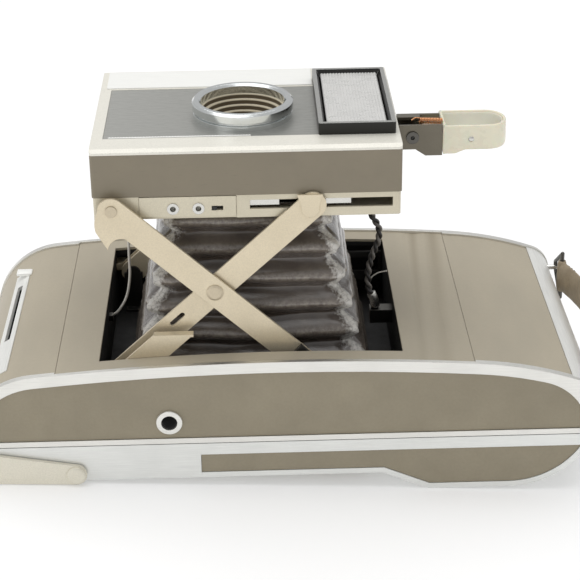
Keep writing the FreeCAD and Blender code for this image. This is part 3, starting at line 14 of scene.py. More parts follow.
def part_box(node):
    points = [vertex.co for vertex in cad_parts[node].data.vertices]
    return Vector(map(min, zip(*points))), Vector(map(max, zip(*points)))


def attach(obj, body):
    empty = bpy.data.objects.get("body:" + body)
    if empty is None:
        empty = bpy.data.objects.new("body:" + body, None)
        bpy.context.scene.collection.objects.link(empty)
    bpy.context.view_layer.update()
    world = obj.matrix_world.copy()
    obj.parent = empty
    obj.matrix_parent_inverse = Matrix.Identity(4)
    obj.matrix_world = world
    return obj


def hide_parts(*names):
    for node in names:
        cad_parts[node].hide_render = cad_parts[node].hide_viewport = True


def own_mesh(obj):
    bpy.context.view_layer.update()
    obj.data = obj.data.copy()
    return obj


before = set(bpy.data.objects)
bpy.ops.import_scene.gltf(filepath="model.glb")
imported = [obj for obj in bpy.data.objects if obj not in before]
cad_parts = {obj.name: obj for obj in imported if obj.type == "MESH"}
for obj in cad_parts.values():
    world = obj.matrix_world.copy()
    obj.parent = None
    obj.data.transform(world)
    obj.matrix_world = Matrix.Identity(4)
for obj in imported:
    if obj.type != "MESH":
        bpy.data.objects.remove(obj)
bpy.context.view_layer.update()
MM = 0.001


def middle(node, axis):
    """Half the sum of a node's two box faces along an axis."""
    low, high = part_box(node)
    return (low[axis] + high[axis]) / 2


# The drawing's zero point, read from the frame.
ZERO = np.array([middle("board_case", 0), middle("chassis", 1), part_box("door_shell")[0][2]])


def at(*p):
    """Drawing millimetres to metres, for one point or an array of them."""
    return np.asarray(p if len(p) == 3 else p[0], float) * MM + ZERO


def edge(node, side, axis):
    """Low (0) or high (1) face of a node's box, in drawing millimetres."""
    return (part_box(node)[side][axis] - ZERO[axis]) / MM


def srgb(r, g, b):
    """Screen colour (0-255) to linear."""
    c = np.array([r, g, b]) / 255
    return (*np.where(c < 0.04045, c / 12.92, ((c + 0.055) / 1.055) ** 2.4), 1.0)


# ---- mesh helpers ----
def mesh_object(name, verts, faces, material, body, uv=None, smooth=True):
    """Object from drawing-millimetre vertices, riding on a body. uv is one pair per face corner."""
    mesh = bpy.data.meshes.new(name)
    mesh.from_pydata(at(np.asarray(verts, float)).tolist(), [], [list(map(int, f)) for f in faces])
    if uv is not None:
        layer = mesh.uv_layers.new(name="UVMap")
        layer.data.foreach_set("uv", np.asarray(uv, float).ravel())
    mesh.polygons.foreach_set("use_smooth", [smooth] * len(mesh.polygons))
    mesh.materials.append(material)
    mesh.update()
    obj = bpy.data.objects.new(name, mesh)
    bpy.context.scene.collection.objects.link(obj)
    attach(obj, body)
    return obj


def grid_faces(rows, cols, wrap_rows=False, wrap_cols=False):
    """Quads over a rows x cols array of vertices."""
    i = np.arange(rows if wrap_rows else rows - 1)
    j = np.arange(cols if wrap_cols else cols - 1)
    i, j = (a.ravel() for a in np.meshgrid(i, j, indexing="ij"))
    i2, j2 = (i + 1) % rows, (j + 1) % cols
    return np.stack([i * cols + j, i * cols + j2, i2 * cols + j2, i2 * cols + j], 1)


def grid_object(name, points, material, body, wrap_rows=False, wrap_cols=False, smooth=True):
    """Object over a (rows, cols, 3) array of points; its own map is column and row over their counts."""
    rows, cols = points.shape[:2]
    faces = grid_faces(rows, cols, wrap_rows, wrap_cols)
    i = np.arange(rows if wrap_rows else rows - 1)
    j = np.arange(cols if wrap_cols else cols - 1)
    i, j = (a.ravel() for a in np.meshgrid(i, j, indexing="ij"))
    corner = np.stack([np.stack([j + dj, i + di], 1) for di, dj in ((0, 0), (0, 1), (1, 1), (1, 0))], 1)
    uv = corner / [cols, rows]
    return mesh_object(name, points.reshape(-1, 3), faces, material, body, uv=uv, smooth=smooth)


def tube_points(path, radius, sides=14, twist=0.0):
    """Rings of points along a path (n, 3); radius is a number or one per point."""
    path = np.asarray(path, float)
    d = np.gradient(path, axis=0)
    d /= np.linalg.norm(d, axis=1)[:, None]
    up = np.array([0.0, 1.0, 0.0]) if abs(d[:, 1]).max() < 0.9 else np.array([0.0, 0.0, 1.0])
    a = np.cross(d, up)
    a /= np.linalg.norm(a, axis=1)[:, None]
    b = np.cross(a, d)
    t = np.linspace(0, 2 * math.pi, sides, endpoint=False)[None, :, None]
    r = np.broadcast_to(np.asarray(radius, float), len(path))[:, None, None]
    return path[:, None] + r * (np.cos(t + twist) * a[:, None] + np.sin(t + twist) * b[:, None])


def tube(name, path, radius, material, body, sides=14):
    """Closed round tube, its ends drawn in to small domes."""
    rings = tube_points(path, radius, sides)
    ends = [path[0], path[-1]]
    first = ends[0] + (rings[0] - ends[0]) * 0.55
    last = ends[1] + (rings[-1] - ends[1]) * 0.55
    caps = [np.broadcast_to(ends[0], rings[0].shape), np.broadcast_to(ends[1], rings[0].shape)]
    rings = np.concatenate([caps[0][None], first[None], rings, last[None], caps[1][None]])
    return grid_object(name, rings, material, body, wrap_cols=True)


def smooth_path(points, count):
    """Evenly spaced points on a smooth curve through given ones (Catmull-Rom)."""
    p = np.asarray(points, float)
    p = np.vstack([2 * p[0] - p[1], p, 2 * p[-1] - p[-2]])
    out = []
    for k in range(1, len(p) - 2):
        t = np.linspace(0, 1, 24, endpoint=False)[:, None]
        a, b, c, d = p[k - 1], p[k], p[k + 1], p[k + 2]
        square, cube = 2 * a - 5 * b + 4 * c - d, 3 * b - a - 3 * c + d
        out.append(0.5 * (2 * b + (c - a) * t + square * t**2 + cube * t**3))
    line = np.vstack(out + [p[-2][None]])
    s = np.concatenate([[0], np.cumsum(np.linalg.norm(np.diff(line, axis=0), axis=1))])
    u = np.linspace(0, s[-1], count)
    return np.stack([np.interp(u, s, line[:, k]) for k in range(3)], 1)


def waves(seed, x, y, size, terms=18):
    """Smooth seeded roughness between about -1 and 1, with features of the given size."""
    rng = np.random.default_rng(seed)
    total = np.zeros(np.broadcast(x, y).shape)
    for _ in range(terms):
        angle, phase = rng.uniform(0, 2 * math.pi, 2)
        k = 2 * math.pi / (size * rng.uniform(0.6, 1.8))
        total = total + np.sin(k * (x * math.cos(angle) + y * math.sin(angle)) + phase)
    return total / math.sqrt(terms)


def rounded_box(name, low, high, radius, material, body, steps=3):
    """Box with rounded edges and corners, in drawing millimetres."""
    low, high = np.asarray(low, float), np.asarray(high, float)
    centre, half = (low + high) / 2, (high - low) / 2
    radius = min(radius, half.min() * 0.98)
    n = 4 * (steps + 1)
    t = np.arange(n) / n * 2 * math.pi
    quad = (np.arange(n) // (steps + 1)) * math.pi / 2
    t = quad + (np.arange(n) % (steps + 1)) / steps * math.pi / 2
    sx, sy = np.sign(np.cos(quad + math.pi / 4)), np.sign(np.sin(quad + math.pi / 4))
    tilt = np.linspace(0, math.pi / 2, steps + 1)
    rows = []
    for sz, lats in ((-1, tilt[::-1]), (1, tilt)):
        for lat in lats:
            flat = half[:2] - radius
            ring = np.column_stack([
                sx * flat[0] + radius * math.cos(lat) * np.cos(t),
                sy * flat[1] + radius * math.cos(lat) * np.sin(t),
                np.full(n, sz * (half[2] - radius + radius * math.sin(lat))),
            ])
            rows.append(ring)
    rows = [np.tile([0, 0, -half[2]], (n, 1)), *rows, np.tile([0, 0, half[2]], (n, 1))]
    return grid_object(name, np.stack(rows) + centre, material, body, wrap_cols=True)


def turned(name, profile, centre, material, body, sides=96):
    """Surface of revolution about a vertical axis; profile is (radius, height) pairs."""
    profile = np.asarray(profile, float)
    t = np.linspace(0, 2 * math.pi, sides, endpoint=False)
    points = np.stack([
        profile[:, :1] * np.cos(t) + centre[0],
        profile[:, :1] * np.sin(t) + centre[1],
        np.repeat(profile[:, 1:] + centre[2], sides, 1),
    ], 2)
    return grid_object(name, points, material, body, wrap_cols=True)


# ---- shader helpers ----
class Shader:
    """Builds one node material; each call returns an output socket."""

    def __init__(self, name):
        self.material = bpy.data.materials.new(name)
        self.material.use_nodes = True
        self.tree = self.material.node_tree
        self.tree.nodes.clear()
        self.place = self.call("TexCoord", {}, "Object")

    def call(self, kind, inputs, out=0, **settings):
        node = self.tree.nodes.new("ShaderNode" + kind)
        for key, value in settings.items():
            setattr(node, key, value)
        for key, value in inputs.items():
            if isinstance(value, bpy.types.NodeSocket):
                self.tree.links.new(value, node.inputs[key])
            else:
                node.inputs[key].default_value = value
        return node.outputs[out]

    def scaled(self, x, y, z):
        return self.call("Mapping", {"Vector": self.place, "Scale": (x, y, z)})

    def noise(self, size, detail=4.0, stretch=(1, 1, 1), rough=0.55):
        """Noise whose features are about size millimetres, stretched along the axes."""
        k = 1000 / size
        where = self.scaled(k / stretch[0], k / stretch[1], k / stretch[2])
        return self.call("TexNoise", {"Vector": where, "Scale": 1.0, "Detail": detail, "Roughness": rough})

    def cells(self, size, feature="F1"):
        where = self.scaled(*[1000 / size] * 3)
        return self.call("TexVoronoi", {"Vector": where, "Scale": 1.0}, "Distance", feature=feature)

    def range(self, value, a, b, c=0.0, d=1.0):
        inputs = {"Value": value, "From Min": a, "From Max": b, "To Min": c, "To Max": d}
        return self.call("MapRange", inputs)

    def maths(self, operation, a, b=0.0):
        return self.call("Math", {0: a, 1: b}, operation=operation)

    def mix(self, factor, a, b, blend="MIX"):
        return self.call("Mix", {0: factor, 6: a, 7: b}, 2, data_type="RGBA", blend_type=blend)

    def bump(self, height, strength, depth_mm, normal=None):
        inputs = {"Height": height, "Strength": strength, "Distance": depth_mm * MM}
        if normal is not None:
            inputs["Normal"] = normal
        return self.call("Bump", inputs)

    def soft_normal(self, radius_mm):
        return self.call("Bevel", {"Radius": radius_mm * MM}, samples=4)

    def edges(self, radius_mm):
        """1 on sharp edges, 0 on flat faces."""
        soft = self.soft_normal(radius_mm)
        true = self.call("NewGeometry", {}, "Normal")
        dot = self.call("VectorMath", {0: soft, 1: true}, "Value", operation="DOT_PRODUCT")
        return self.range(dot, 0.995, 0.86)

    def finish(self, **inputs):
        names = {
            "color": "Base Color", "rough": "Roughness", "metal": "Metallic", "normal": "Normal",
            "spec": "Specular IOR Level", "coat": "Coat Weight", "coat_rough": "Coat Roughness",
            "clear": "Transmission Weight", "ior": "IOR",
            "glow": "Emission Color", "glow_power": "Emission Strength", "under": "Subsurface Weight",
            "under_scale": "Subsurface Scale",
        }
        shader = self.call("BsdfPrincipled", {names[k]: v for k, v in inputs.items()})
        self.call_output(shader)
        return self.material

    def call_output(self, shader):
        out = self.tree.nodes.new("ShaderNodeOutputMaterial")
        self.tree.links.new(shader, out.inputs["Surface"])


def darker(color, k):
    """Colour with its three parts multiplied by k; above 1 it is paler."""
    return (*[c * k for c in color[:3]], 1.0)


def leatherette(name, color, grain=0.75, pale=1.16):
    """Pebbled covering: tiny cells, faint cloudy colour, rubbed paler at its edges."""
    s = Shader(name)
    cloud = s.noise(22, 3.0)
    fine = s.noise(1.2, 2.0)
    base = s.mix(s.range(cloud, 0.3, 0.7), darker(color, 0.93), darker(color, 1.06))
    base = s.mix(s.range(fine, 0.35, 0.75, 0, 0.25), base, darker(color, 0.78))
    rub = s.maths("MULTIPLY", s.edges(0.5), s.range(s.noise(3, 5.0), 0.42, 0.62))
    base = s.mix(s.maths("MULTIPLY", rub, 0.5), base, darker(color, pale))
    pebble = s.cells(grain, "SMOOTH_F1")
    height = s.maths("ADD", pebble, s.maths("MULTIPLY", s.noise(0.35, 2.0), 0.35))
    normal = s.bump(height, 0.35, 0.06, s.bump(s.noise(9, 2.0), 0.15, 0.12))
    rough = s.range(s.noise(6, 4.0), 0.3, 0.7, 0.5, 0.66)
    return s.finish(color=base, rough=rough, normal=normal, spec=0.42)


def brushed(name, color, along, rough=0.3, wear=True, metal=0.92, streak=0.10):
    """Brushed metal with lines along one axis (0 x, 1 y, 2 z), fine scuffs and brighter edges."""
    s = Shader(name)
    stretch = [0.25, 0.25, 0.25]
    stretch[along] = 14.0
    lines = s.noise(1.0, 3.0, stretch)
    cloud = s.noise(17, 4.0)
    base = s.mix(s.range(lines, 0.3, 0.7), darker(color, 1 - streak), darker(color, 1 + streak * 0.4))
    base = s.mix(s.range(cloud, 0.45, 0.75, 0, 0.35), base, darker(color, 0.86))
    specks = s.range(s.noise(0.8, 6.0, rough=0.8), 0.66, 0.74)
    base = s.mix(s.maths("MULTIPLY", specks, 0.5), base, darker(color, 0.6))
    if wear:
        base = s.mix(s.maths("MULTIPLY", s.edges(0.3), 0.6), base, darker(color, 1.18))
    roughness = s.maths("ADD", s.range(lines, 0.3, 0.7, rough - 0.06, rough + 0.08),
                        s.range(cloud, 0.4, 0.7, 0.0, 0.08))
    normal = s.bump(lines, 0.12, 0.03, s.soft_normal(0.25))
    return s.finish(color=base, rough=roughness, metal=metal, normal=normal)


def lacquer(name, color, rough=0.36, metal=0.25, grain=0.5, coat=0.15):
    """Lacquered sheet: even colour with fine sparkle grain, tiny chips and softened edges."""
    s = Shader(name)
    grainy = s.noise(grain, 2.0)
    cloud = s.noise(14, 4.0)
    base = s.mix(s.range(grainy, 0.3, 0.7), darker(color, 0.93), darker(color, 1.05))
    base = s.mix(s.range(cloud, 0.4, 0.75, 0, 0.4), base, darker(color, 0.9))
    chips = s.maths("MULTIPLY", s.edges(0.25), s.range(s.noise(1.6, 5.0), 0.55, 0.62))
    base = s.mix(chips, base, darker(color, 0.55))
    normal = s.bump(grainy, 0.10, 0.03, s.soft_normal(0.25))
    roughness = s.range(cloud, 0.3, 0.7, rough - 0.04, rough + 0.1)
    return s.finish(color=base, rough=roughness, metal=metal, normal=normal, coat=coat, coat_rough=0.3)


def plastic(name, color, rough=0.35, under=0.0, soft=0.4):
    """Moulded plastic with a faint cloud in its colour, hairline scratches and rounded edges."""
    s = Shader(name)
    cloud = s.noise(12, 3.0)
    hair = s.noise(0.5, 3.0, (9, 1, 1))
    base = s.mix(s.range(cloud, 0.3, 0.7), darker(color, 0.95), darker(color, 1.04))
    base = s.mix(s.range(hair, 0.62, 0.7, 0, 0.35), base, darker(color, 0.8))
    roughness = s.maths("ADD", s.range(cloud, 0.3, 0.7, rough - 0.05, rough + 0.07),
                        s.range(hair, 0.6, 0.7, 0, 0.1))
    normal = s.bump(hair, 0.06, 0.02, s.soft_normal(soft))
    return s.finish(color=base, rough=roughness, normal=normal, spec=0.5, under=under, under_scale=0.003)


# ---- materials ----
TAUPE = srgb(150, 141, 121)
ALUMINIUM = srgb(232, 231, 226)
CHAMPAGNE = srgb(222, 209, 182)
IVORY = srgb(236, 230, 208)


def deck_material():
    """Covering on the front: the sides' leatherette, its grain drawn out along the body; its colour is paler than
    the sides' as painted light on this upward face, and two dark bands across it are painted shade.
    """
    s = Shader("deck covering")
    # Painted light: the sides' leatherette colour made paler here, because this face turns up towards the overhead
    # light.
    color = srgb(176, 167, 148)
    cloud = s.noise(30, 4.0, (0.6, 2.0, 1))
    weave = s.noise(0.55, 2.0, (3.0, 0.8, 1))
    base = s.mix(s.range(cloud, 0.3, 0.7), darker(color, 0.92), darker(color, 1.05))
    base = s.mix(s.range(weave, 0.4, 0.7, 0, 0.3), base, darker(color, 0.86))
    x = s.call("SeparateXYZ", {0: s.place}, "X")
    y = s.call("SeparateXYZ", {0: s.place}, "Y")
    lean = s.maths("ADD", x, s.maths("MULTIPLY", y, -0.055))
    # Painted shade: two dark bands across the deck near x 71 and x 80, leaning slightly with y, stronger towards
    # the far side.
    far = s.range(y, at(0, -20, 0)[1], at(0, 60, 0)[1], 0.35, 1.0)
    for place, half, depth in ((71.0, 1.6, 0.30), (80.0, 2.6, 0.34)):
        away = s.maths("ABSOLUTE", s.maths("SUBTRACT", lean, float(at(place, 0, 0)[0] - 0.055 * ZERO[1])))
        band = s.range(away, half * MM * 1.6, 0.2 * half * MM)
        base = s.mix(s.maths("MULTIPLY", s.maths("MULTIPLY", band, far), depth), base, srgb(104, 88, 62))
    dust = s.range(s.noise(2.5, 6.0, rough=0.75), 0.68, 0.76)
    base = s.mix(s.maths("MULTIPLY", dust, 0.35), base, darker(color, 1.25))
    base = s.mix(s.maths("MULTIPLY", s.edges(0.4), 0.5), base, darker(color, 1.25))
    height = s.maths("ADD", weave, s.maths("MULTIPLY", s.cells(0.8), 0.5))
    normal = s.bump(height, 0.22, 0.05, s.soft_normal(0.4))
    return s.finish(color=base, rough=s.range(cloud, 0.3, 0.7, 0.42, 0.56), normal=normal, spec=0.45)


def bellows_material():
    """Coated cloth: dark glossy folds with a painted highlight along each crest, greyed and cracked where the
    corners rub.
    """
    s = Shader("bellows cloth")
    worn = s.call("Attribute", {}, "Fac", attribute_name="worn")
    ridge = s.call("Attribute", {}, "Fac", attribute_name="ridge")
    cloud = s.noise(9, 5.0)
    crease = s.noise(1.6, 6.0, rough=0.7)
    base = s.mix(s.range(cloud, 0.3, 0.7), srgb(70, 62, 56), srgb(92, 83, 76))
    # Painted highlight: paler colour along each pleat's crest, where the gloss catches the light.
    base = s.mix(s.maths("MULTIPLY", ridge, s.range(crease, 0.35, 0.65, 0.15, 0.7)), base, srgb(164, 155, 144))
    flake = s.range(s.maths("ADD", worn, s.range(crease, 0.3, 0.7, -0.35, 0.3)), 0.45, 0.8)
    base = s.mix(flake, base, srgb(205, 202, 196))
    lines = s.cells(2.4, "DISTANCE_TO_EDGE")
    crack = s.maths("MULTIPLY", s.range(lines, 0.0, 0.05, 1.0, 0.0), flake)
    base = s.mix(s.maths("MULTIPLY", crack, 0.7), base, srgb(92, 86, 80))
    height = s.maths("ADD", s.maths("MULTIPLY", crease, 0.7), s.maths("MULTIPLY", s.noise(0.4, 2.0), 0.25))
    normal = s.bump(height, 0.35, 0.2, s.bump(cloud, 0.2, 0.4))
    rough = s.range(flake, 0.0, 1.0, 0.26, 0.6)
    return s.finish(color=base, rough=rough, normal=normal, spec=0.7, coat=0.5, coat_rough=0.2)


def strap_material():
    """Brown leather: cloudy colour, darker scuffs, pores and paler rubbed edges."""
    s = Shader("strap leather")
    color = srgb(158, 143, 120)
    cloud = s.noise(8, 5.0)
    pore = s.cells(0.55, "SMOOTH_F1")
    base = s.mix(s.range(cloud, 0.3, 0.7), darker(color, 0.78), darker(color, 1.1))
    base = s.mix(s.range(s.noise(1.4, 6.0, rough=0.7), 0.5, 0.72, 0, 0.5), base, darker(color, 0.55))
    base = s.mix(s.maths("MULTIPLY", s.edges(0.5), 0.5), base, darker(color, 1.4))
    height = s.maths("ADD", pore, s.maths("MULTIPLY", s.noise(3, 4.0), 1.2))
    normal = s.bump(height, 0.5, 0.12)
    return s.finish(color=base, rough=s.range(cloud, 0.3, 0.7, 0.42, 0.6), normal=normal, spec=0.4)


def name_plate_material():
    """Anodised sheet, graded in tone from the lens board's left end towards its middle as painted shading."""
    s = Shader("name plate")
    split = s.call("SeparateXYZ", {0: s.place}, "X")
    left, right = at(-55, 0, 0)[0], at(5, 0, 0)[0]
    # Painted shading: the plate's tone graded along x between -55 and 5.
    fade = s.range(split, left, right)
    grain = s.noise(0.5, 2.0, (8, 1, 1))
    base = s.mix(fade, srgb(186, 186, 181), srgb(170, 170, 165))
    base = s.mix(s.range(grain, 0.4, 0.7, 0, 0.25), base, srgb(120, 120, 116))
    return s.finish(color=base, rough=s.range(grain, 0.3, 0.7, 0.3, 0.42), metal=0.75,
                    normal=s.bump(grain, 0.08, 0.02))


def glass_material(name, tint, rough=0.02):
    """Clear tinted glass with faint smears."""
    s = Shader(name)
    smear = s.range(s.noise(5, 4.0), 0.5, 0.8, rough, rough + 0.06)
    return s.finish(color=tint, rough=smear, clear=0.85, ior=1.5, coat=0.4, coat_rough=0.03)


def pane_material():
    """Frosted ribbed pane over the photocell."""
    s = Shader("photocell pane")
    dust = s.noise(6, 2.0)
    base = s.mix(s.range(dust, 0.4, 0.7), srgb(222, 221, 218), srgb(228, 227, 224))
    return s.finish(color=base, rough=s.range(dust, 0.4, 0.7, 0.25, 0.38), spec=0.6, clear=0.12, ior=1.45,
                    coat=0.3, coat_rough=0.15, normal=s.bump(dust, 0.01, 0.02))


def bezel_material():
    """Photocell frame: grey lacquer on its top, black down its sides, with painted highlights on the edges between.
    """
    s = Shader("photocell frame")
    up = s.call("SeparateXYZ", {0: s.call("NewGeometry", {}, "True Normal")}, "Z")
    top = s.range(up, 0.6, 0.9)
    grain = s.noise(0.6, 2.0)
    grey = s.mix(s.range(grain, 0.3, 0.7), srgb(150, 150, 147), srgb(164, 164, 161))
    base = s.mix(top, srgb(26, 25, 22), grey)
    # Painted highlight: near-white along the frame's edges.
    base = s.mix(s.maths("MULTIPLY", s.edges(0.22), 0.75), base, srgb(236, 236, 232))
    return s.finish(color=base, rough=0.34, metal=0.2, normal=s.bump(grain, 0.05, 0.02, s.soft_normal(0.2)))


def make_materials():
    """Every finish of the camera, by the short name that the pieces use."""
    return {
        "taupe": leatherette("side leatherette", TAUPE),
        "deck": deck_material(),
        "case": plastic("taupe case", srgb(134, 125, 107), 0.42),
        "rail": brushed("satin rail", ALUMINIUM, 0, 0.34),
        "band": brushed("satin back", srgb(234, 235, 232), 0, 0.4, metal=0.7),
        "across": brushed("satin end", srgb(240, 240, 236), 1, 0.4, metal=0.45),
        "pan": lacquer("pan lacquer", srgb(212, 204, 182), 0.34, 0.35),
        "champagne": lacquer("champagne lacquer", CHAMPAGNE, 0.33, 0.45),
        "bail": lacquer("bail lacquer", srgb(229, 224, 208), 0.34, 0.3),
        "face": lacquer("face lacquer", srgb(238, 235, 224), 0.34, 0.12),
        "strip": brushed("bright strip", srgb(250, 250, 246), 0, 0.4, metal=0.15, streak=0.04),
        "plate": name_plate_material(),
        "chrome": brushed("ring plating", srgb(225, 228, 228), 2, 0.12, metal=1.0, streak=0.04),
        "steel": brushed("bright steel", srgb(214, 213, 208), 1, 0.22, metal=1.0),
        "dark_steel": brushed("dark steel", srgb(96, 94, 90), 1, 0.3, metal=1.0),
        "hood": plastic("hood ivory", srgb(206, 196, 172), 0.4, soft=0.1),
        # Painted shadow colour for the bands under the hood's treads.
        "groove": plastic("hood groove", srgb(92, 80, 62), 0.6, soft=0.1),
        "bezel": bezel_material(),
        "black": plastic("black moulding", srgb(30, 29, 27), 0.4),
        "inside": leatherette("black interior", srgb(24, 23, 23), 1.4),
        "pane": pane_material(),
        "glass": glass_material("coated glass", srgb(205, 215, 225)),
        "bellows": bellows_material(),
        "rivet": lacquer("rivet lacquer", srgb(206, 193, 168), 0.4, 0.5, coat=0.05),
        "strap": strap_material(),
        "thread": plastic("waxed thread", srgb(74, 62, 48), 0.6, soft=0.05),
        "lever": lacquer("lever lacquer", srgb(112, 106, 93), 0.3, 0.6),
        "loop": plastic("loop ivory", IVORY, 0.28, 0.15),
        "lining": plastic("loop lining", srgb(240, 236, 222), 0.34, 0.1),
        "copper": brushed("copper wire", srgb(214, 158, 116), 1, 0.25, metal=1.0),
        "cable": plastic("lead sleeve", srgb(52, 50, 49), 0.3, soft=0.05),
        "white_wire": plastic("pale lead", srgb(206, 202, 194), 0.4, soft=0.05),
        "lead_grey": plastic("lead sleeve grey", srgb(112, 108, 104), 0.3, soft=0.05),
    }


M = make_materials()

FINISH = {
    "rail": ["side_frames", "tripod_socket"],
    "strip": ["trim_strip"],
    "band": ["door_shell"],
    "across": ["end_cap", "tab_strip"],
    "taupe": ["side_panels", "door_inlays", "back_panels"],
    "deck": ["front_deck", "left_deck", "right_deck"],
    "case": ["board_case"],
    "pan": ["rear_pan", "socket_cover"],
    "face": ["face_plate"],
    "champagne": ["outer_struts", "inner_struts", "strut_catches", "strut_sliders"],
    "rivet": ["cross_rivets", "board_rivets"],
    "bail": ["latch_bail", "bail_screws"],
    "plate": ["name_plate"],
    "chrome": ["lens_ring"],
    "steel": [
        "body_roller", "door_roller", "hinge_pin", "hinge_barrels_body", "hinge_barrels_door", "strap_lugs",
        "flash_sockets", "body_roller_cheeks", "door_roller_cheeks", "slot_bars",
    ],
    "dark_steel": ["strap_wires", "lead_anchors", "lever_bracket", "lever_pin"],
    "bezel": ["cell_block"],
    "black": [
        "lens_barrel", "shutter_blade", "cell_element", "sync_switch", "finder_case", "strut_posts", "strut_guides",
    ],
    "inside": ["chassis", "pressure_plate"],
    "glass": ["lens_glasses", "finder_lenses"],
    "lever": ["lever_channel"],
}


def dress_nodes():
    """Gives every carried-over CAD node its material."""
    for material, nodes in FINISH.items():
        for node in nodes:
            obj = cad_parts[node]
            obj.data.materials.clear()
            obj.data.materials.append(M[material])


# ---- bellows ----
PLEATS = 7


def board_squash(piece):
    """Gives a soft piece its own copy of its mesh."""
    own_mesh(piece)


def bellows():
    """Pleated cloth box that tapers from the film gate to the lens board."""
    low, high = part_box("bellows")
    (_, _, z0), (x1, y1, z1) = ((np.array(p) - ZERO) / MM for p in (low, high))
    wide = (x1, y1)
    narrow = (33.0, 36.0)
    rows, per_side = PLEATS * 22 + 1, 90
    v = np.linspace(0, 1, rows)[:, None]
    # Perimeter parameter: which wall, and how far along it.
    t = np.linspace(-1, 1, per_side, endpoint=False)
    along = np.sin(t * math.pi / 2) * 0.35 + t * 0.65
    walls = [(along, -1), (along, 1), (-along, 1), (-along, -1)]
    ux = np.concatenate([walls[0][0], np.ones(per_side), walls[2][0], -np.ones(per_side)])[None]
    uy = np.concatenate([-np.ones(per_side), along, np.ones(per_side), -along])[None]
    half_x = wide[0] + (narrow[0] - wide[0]) * v
    half_y = wide[1] + (narrow[1] - wide[1]) * v
    corner = np.minimum(np.abs(ux), np.abs(uy))
    corner = np.clip((corner - 0.80) / 0.20, 0, 1)
    lap = np.concatenate([along, along + 2, along + 4, along + 6])[None] * 40.0
    height = v * (z1 - z0)
    shift = 0.012 * waves(3, lap, height, 46) * (1 - corner) / PLEATS * 4
    phase = (v + shift * np.sin(v * math.pi)) * PLEATS
    ridge = 0.5 - 0.5 * np.cos(2 * math.pi * phase)
    ridge = ridge ** 0.8
    depth = (4.6 + 0.3 * waves(5, lap, height, 30)) * (1 - 0.35 * corner)
    fold = (1 - ridge) * depth
    crumple = waves(11, lap, height, 7) * (0.07 + 0.9 * corner) + waves(12, lap, height, 19) * 0.15
    inset = fold + np.maximum(crumple, -0.6) * 0.55 + 0.5
    round_in = corner * (1.2 + 1.6 * (1 - ridge))
    x = ux * (half_x - inset) - np.sign(ux) * round_in * (np.abs(ux) > 0.8)
    y = uy * (half_y - inset) - np.sign(uy) * round_in * (np.abs(uy) > 0.8)
    fade = np.clip(np.minimum(v, 1 - v) * 14, 0, 1)
    droop = (0.15 * waves(7, lap, height, 40) + 0.45 * corner * waves(8, lap, height, 6)) * fade
    z = z0 + height + droop + 0 * x
    points = np.stack([x, y, np.clip(z, z0 + 0.02, z1 - 0.02)], 2)
    piece = grid_object("bellows_cloth", points, M["bellows"], "camera_body", wrap_cols=True)
    edge_band = np.clip((np.minimum(np.abs(ux), np.abs(uy)) - 0.80) / 0.16, 0, 1) + 0 * v
    worn = edge_band * (0.82 + 0.18 * ridge) + 0.12 * waves(21, lap, height, 9) * edge_band
    # ridge carries the painted highlight along each crest to the cloth's shader; worn marks the rubbed corners.
    for name, values in (("worn", np.clip(worn, 0, 1)), ("ridge", np.clip(ridge, 0, 1) ** 6)):
        layer = piece.data.attributes.new(name, "FLOAT", "POINT")
        layer.data.foreach_set("value", np.broadcast_to(values, x.shape).ravel())
    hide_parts("bellows")
    board_squash(piece)
    return piece


# ---- leads ----
CELL_PATH = [
    (50.5, 6.0, 113.1), (50.5, 6.0, 104.0), (50.8, 6.0, 97.0), (51.8, 5.8, 90.6), (54.6, 5.0, 85.4),
    (54.4, 4.0, 79.9), (51.6, 3.0, 72.6), (50.1, 1.4, 66.1), (50.3, -0.6, 60.0), (52.2, -1.0, 55.2),
    (53.0, -1.0, 50.6),
]
FLASH_PATH = [
    (-49.0, 0.0, 113.1), (-49.0, 0.0, 103.0), (-49.6, 0.0, 90.0), (-50.0, 0.0, 79.0),
    (-50.2, 0.0, 68.0), (-52.0, 0.0, 58.5), (-55.6, 0.0, 52.0), (-58.6, 0.0, 49.6),
]
STRAND_PITCH = 6.5


def twisted_lead():
    """Photocell lead: two glossy strands wound round each other along the path, with a crimped clip."""
    line = smooth_path(CELL_PATH, 260)
    s = np.concatenate([[0], np.cumsum(np.linalg.norm(np.diff(line, axis=0), axis=1))])
    frames = tube_points(line, 1.0, 4)
    a, b = frames[:, 0] - line, frames[:, 1] - line
    turn = 2 * math.pi * s / STRAND_PITCH
    for k, key in enumerate(("cable", "lead_grey")):
        wave = (np.cos(turn + k * math.pi)[:, None] * a + np.sin(turn + k * math.pi)[:, None] * b) * 0.72
        piece = tube(f"cell_lead_strand_{k + 1}", line + wave, 0.74, M[key], "camera_body", 12)
        board_squash(piece)
        if k == 0:
            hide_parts("cell_lead")
    whisker = smooth_path([(50.6, 0.2, 62.8), (51.7, 1.0, 64.4), (54.4, 0.6, 66.4), (57.9, 0.0, 67.4)], 60)
    drain = tube("cell_lead_drain_wire", whisker, 0.3, M["white_wire"], "camera_body", 8)
    board_squash(drain)
    crimp = smooth_path([(51.2, -0.8, 57.6), (52.4, -1.0, 55.0), (53.0, -1.0, 51.6)], 12)
    clip = tube("cell_lead_crimp", crimp, 1.95, M["steel"], "camera_body", 16)
    board_squash(clip)


def flash_wire():
    """Thin pale lead at the left, hooked round its eyelet."""
    line = smooth_path(FLASH_PATH, 120)
    piece = tube("flash_lead_wire", line, 0.55, M["white_wire"], "camera_body", 10)
    board_squash(piece)
    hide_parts("flash_lead")


# ---- hand strap ----
STRAP_END_Y = 44.0
LUG_Z = 42.0
STRAP_W = 15.0
STRAP_BULGE = 8.0
WIRE_R = 0.9


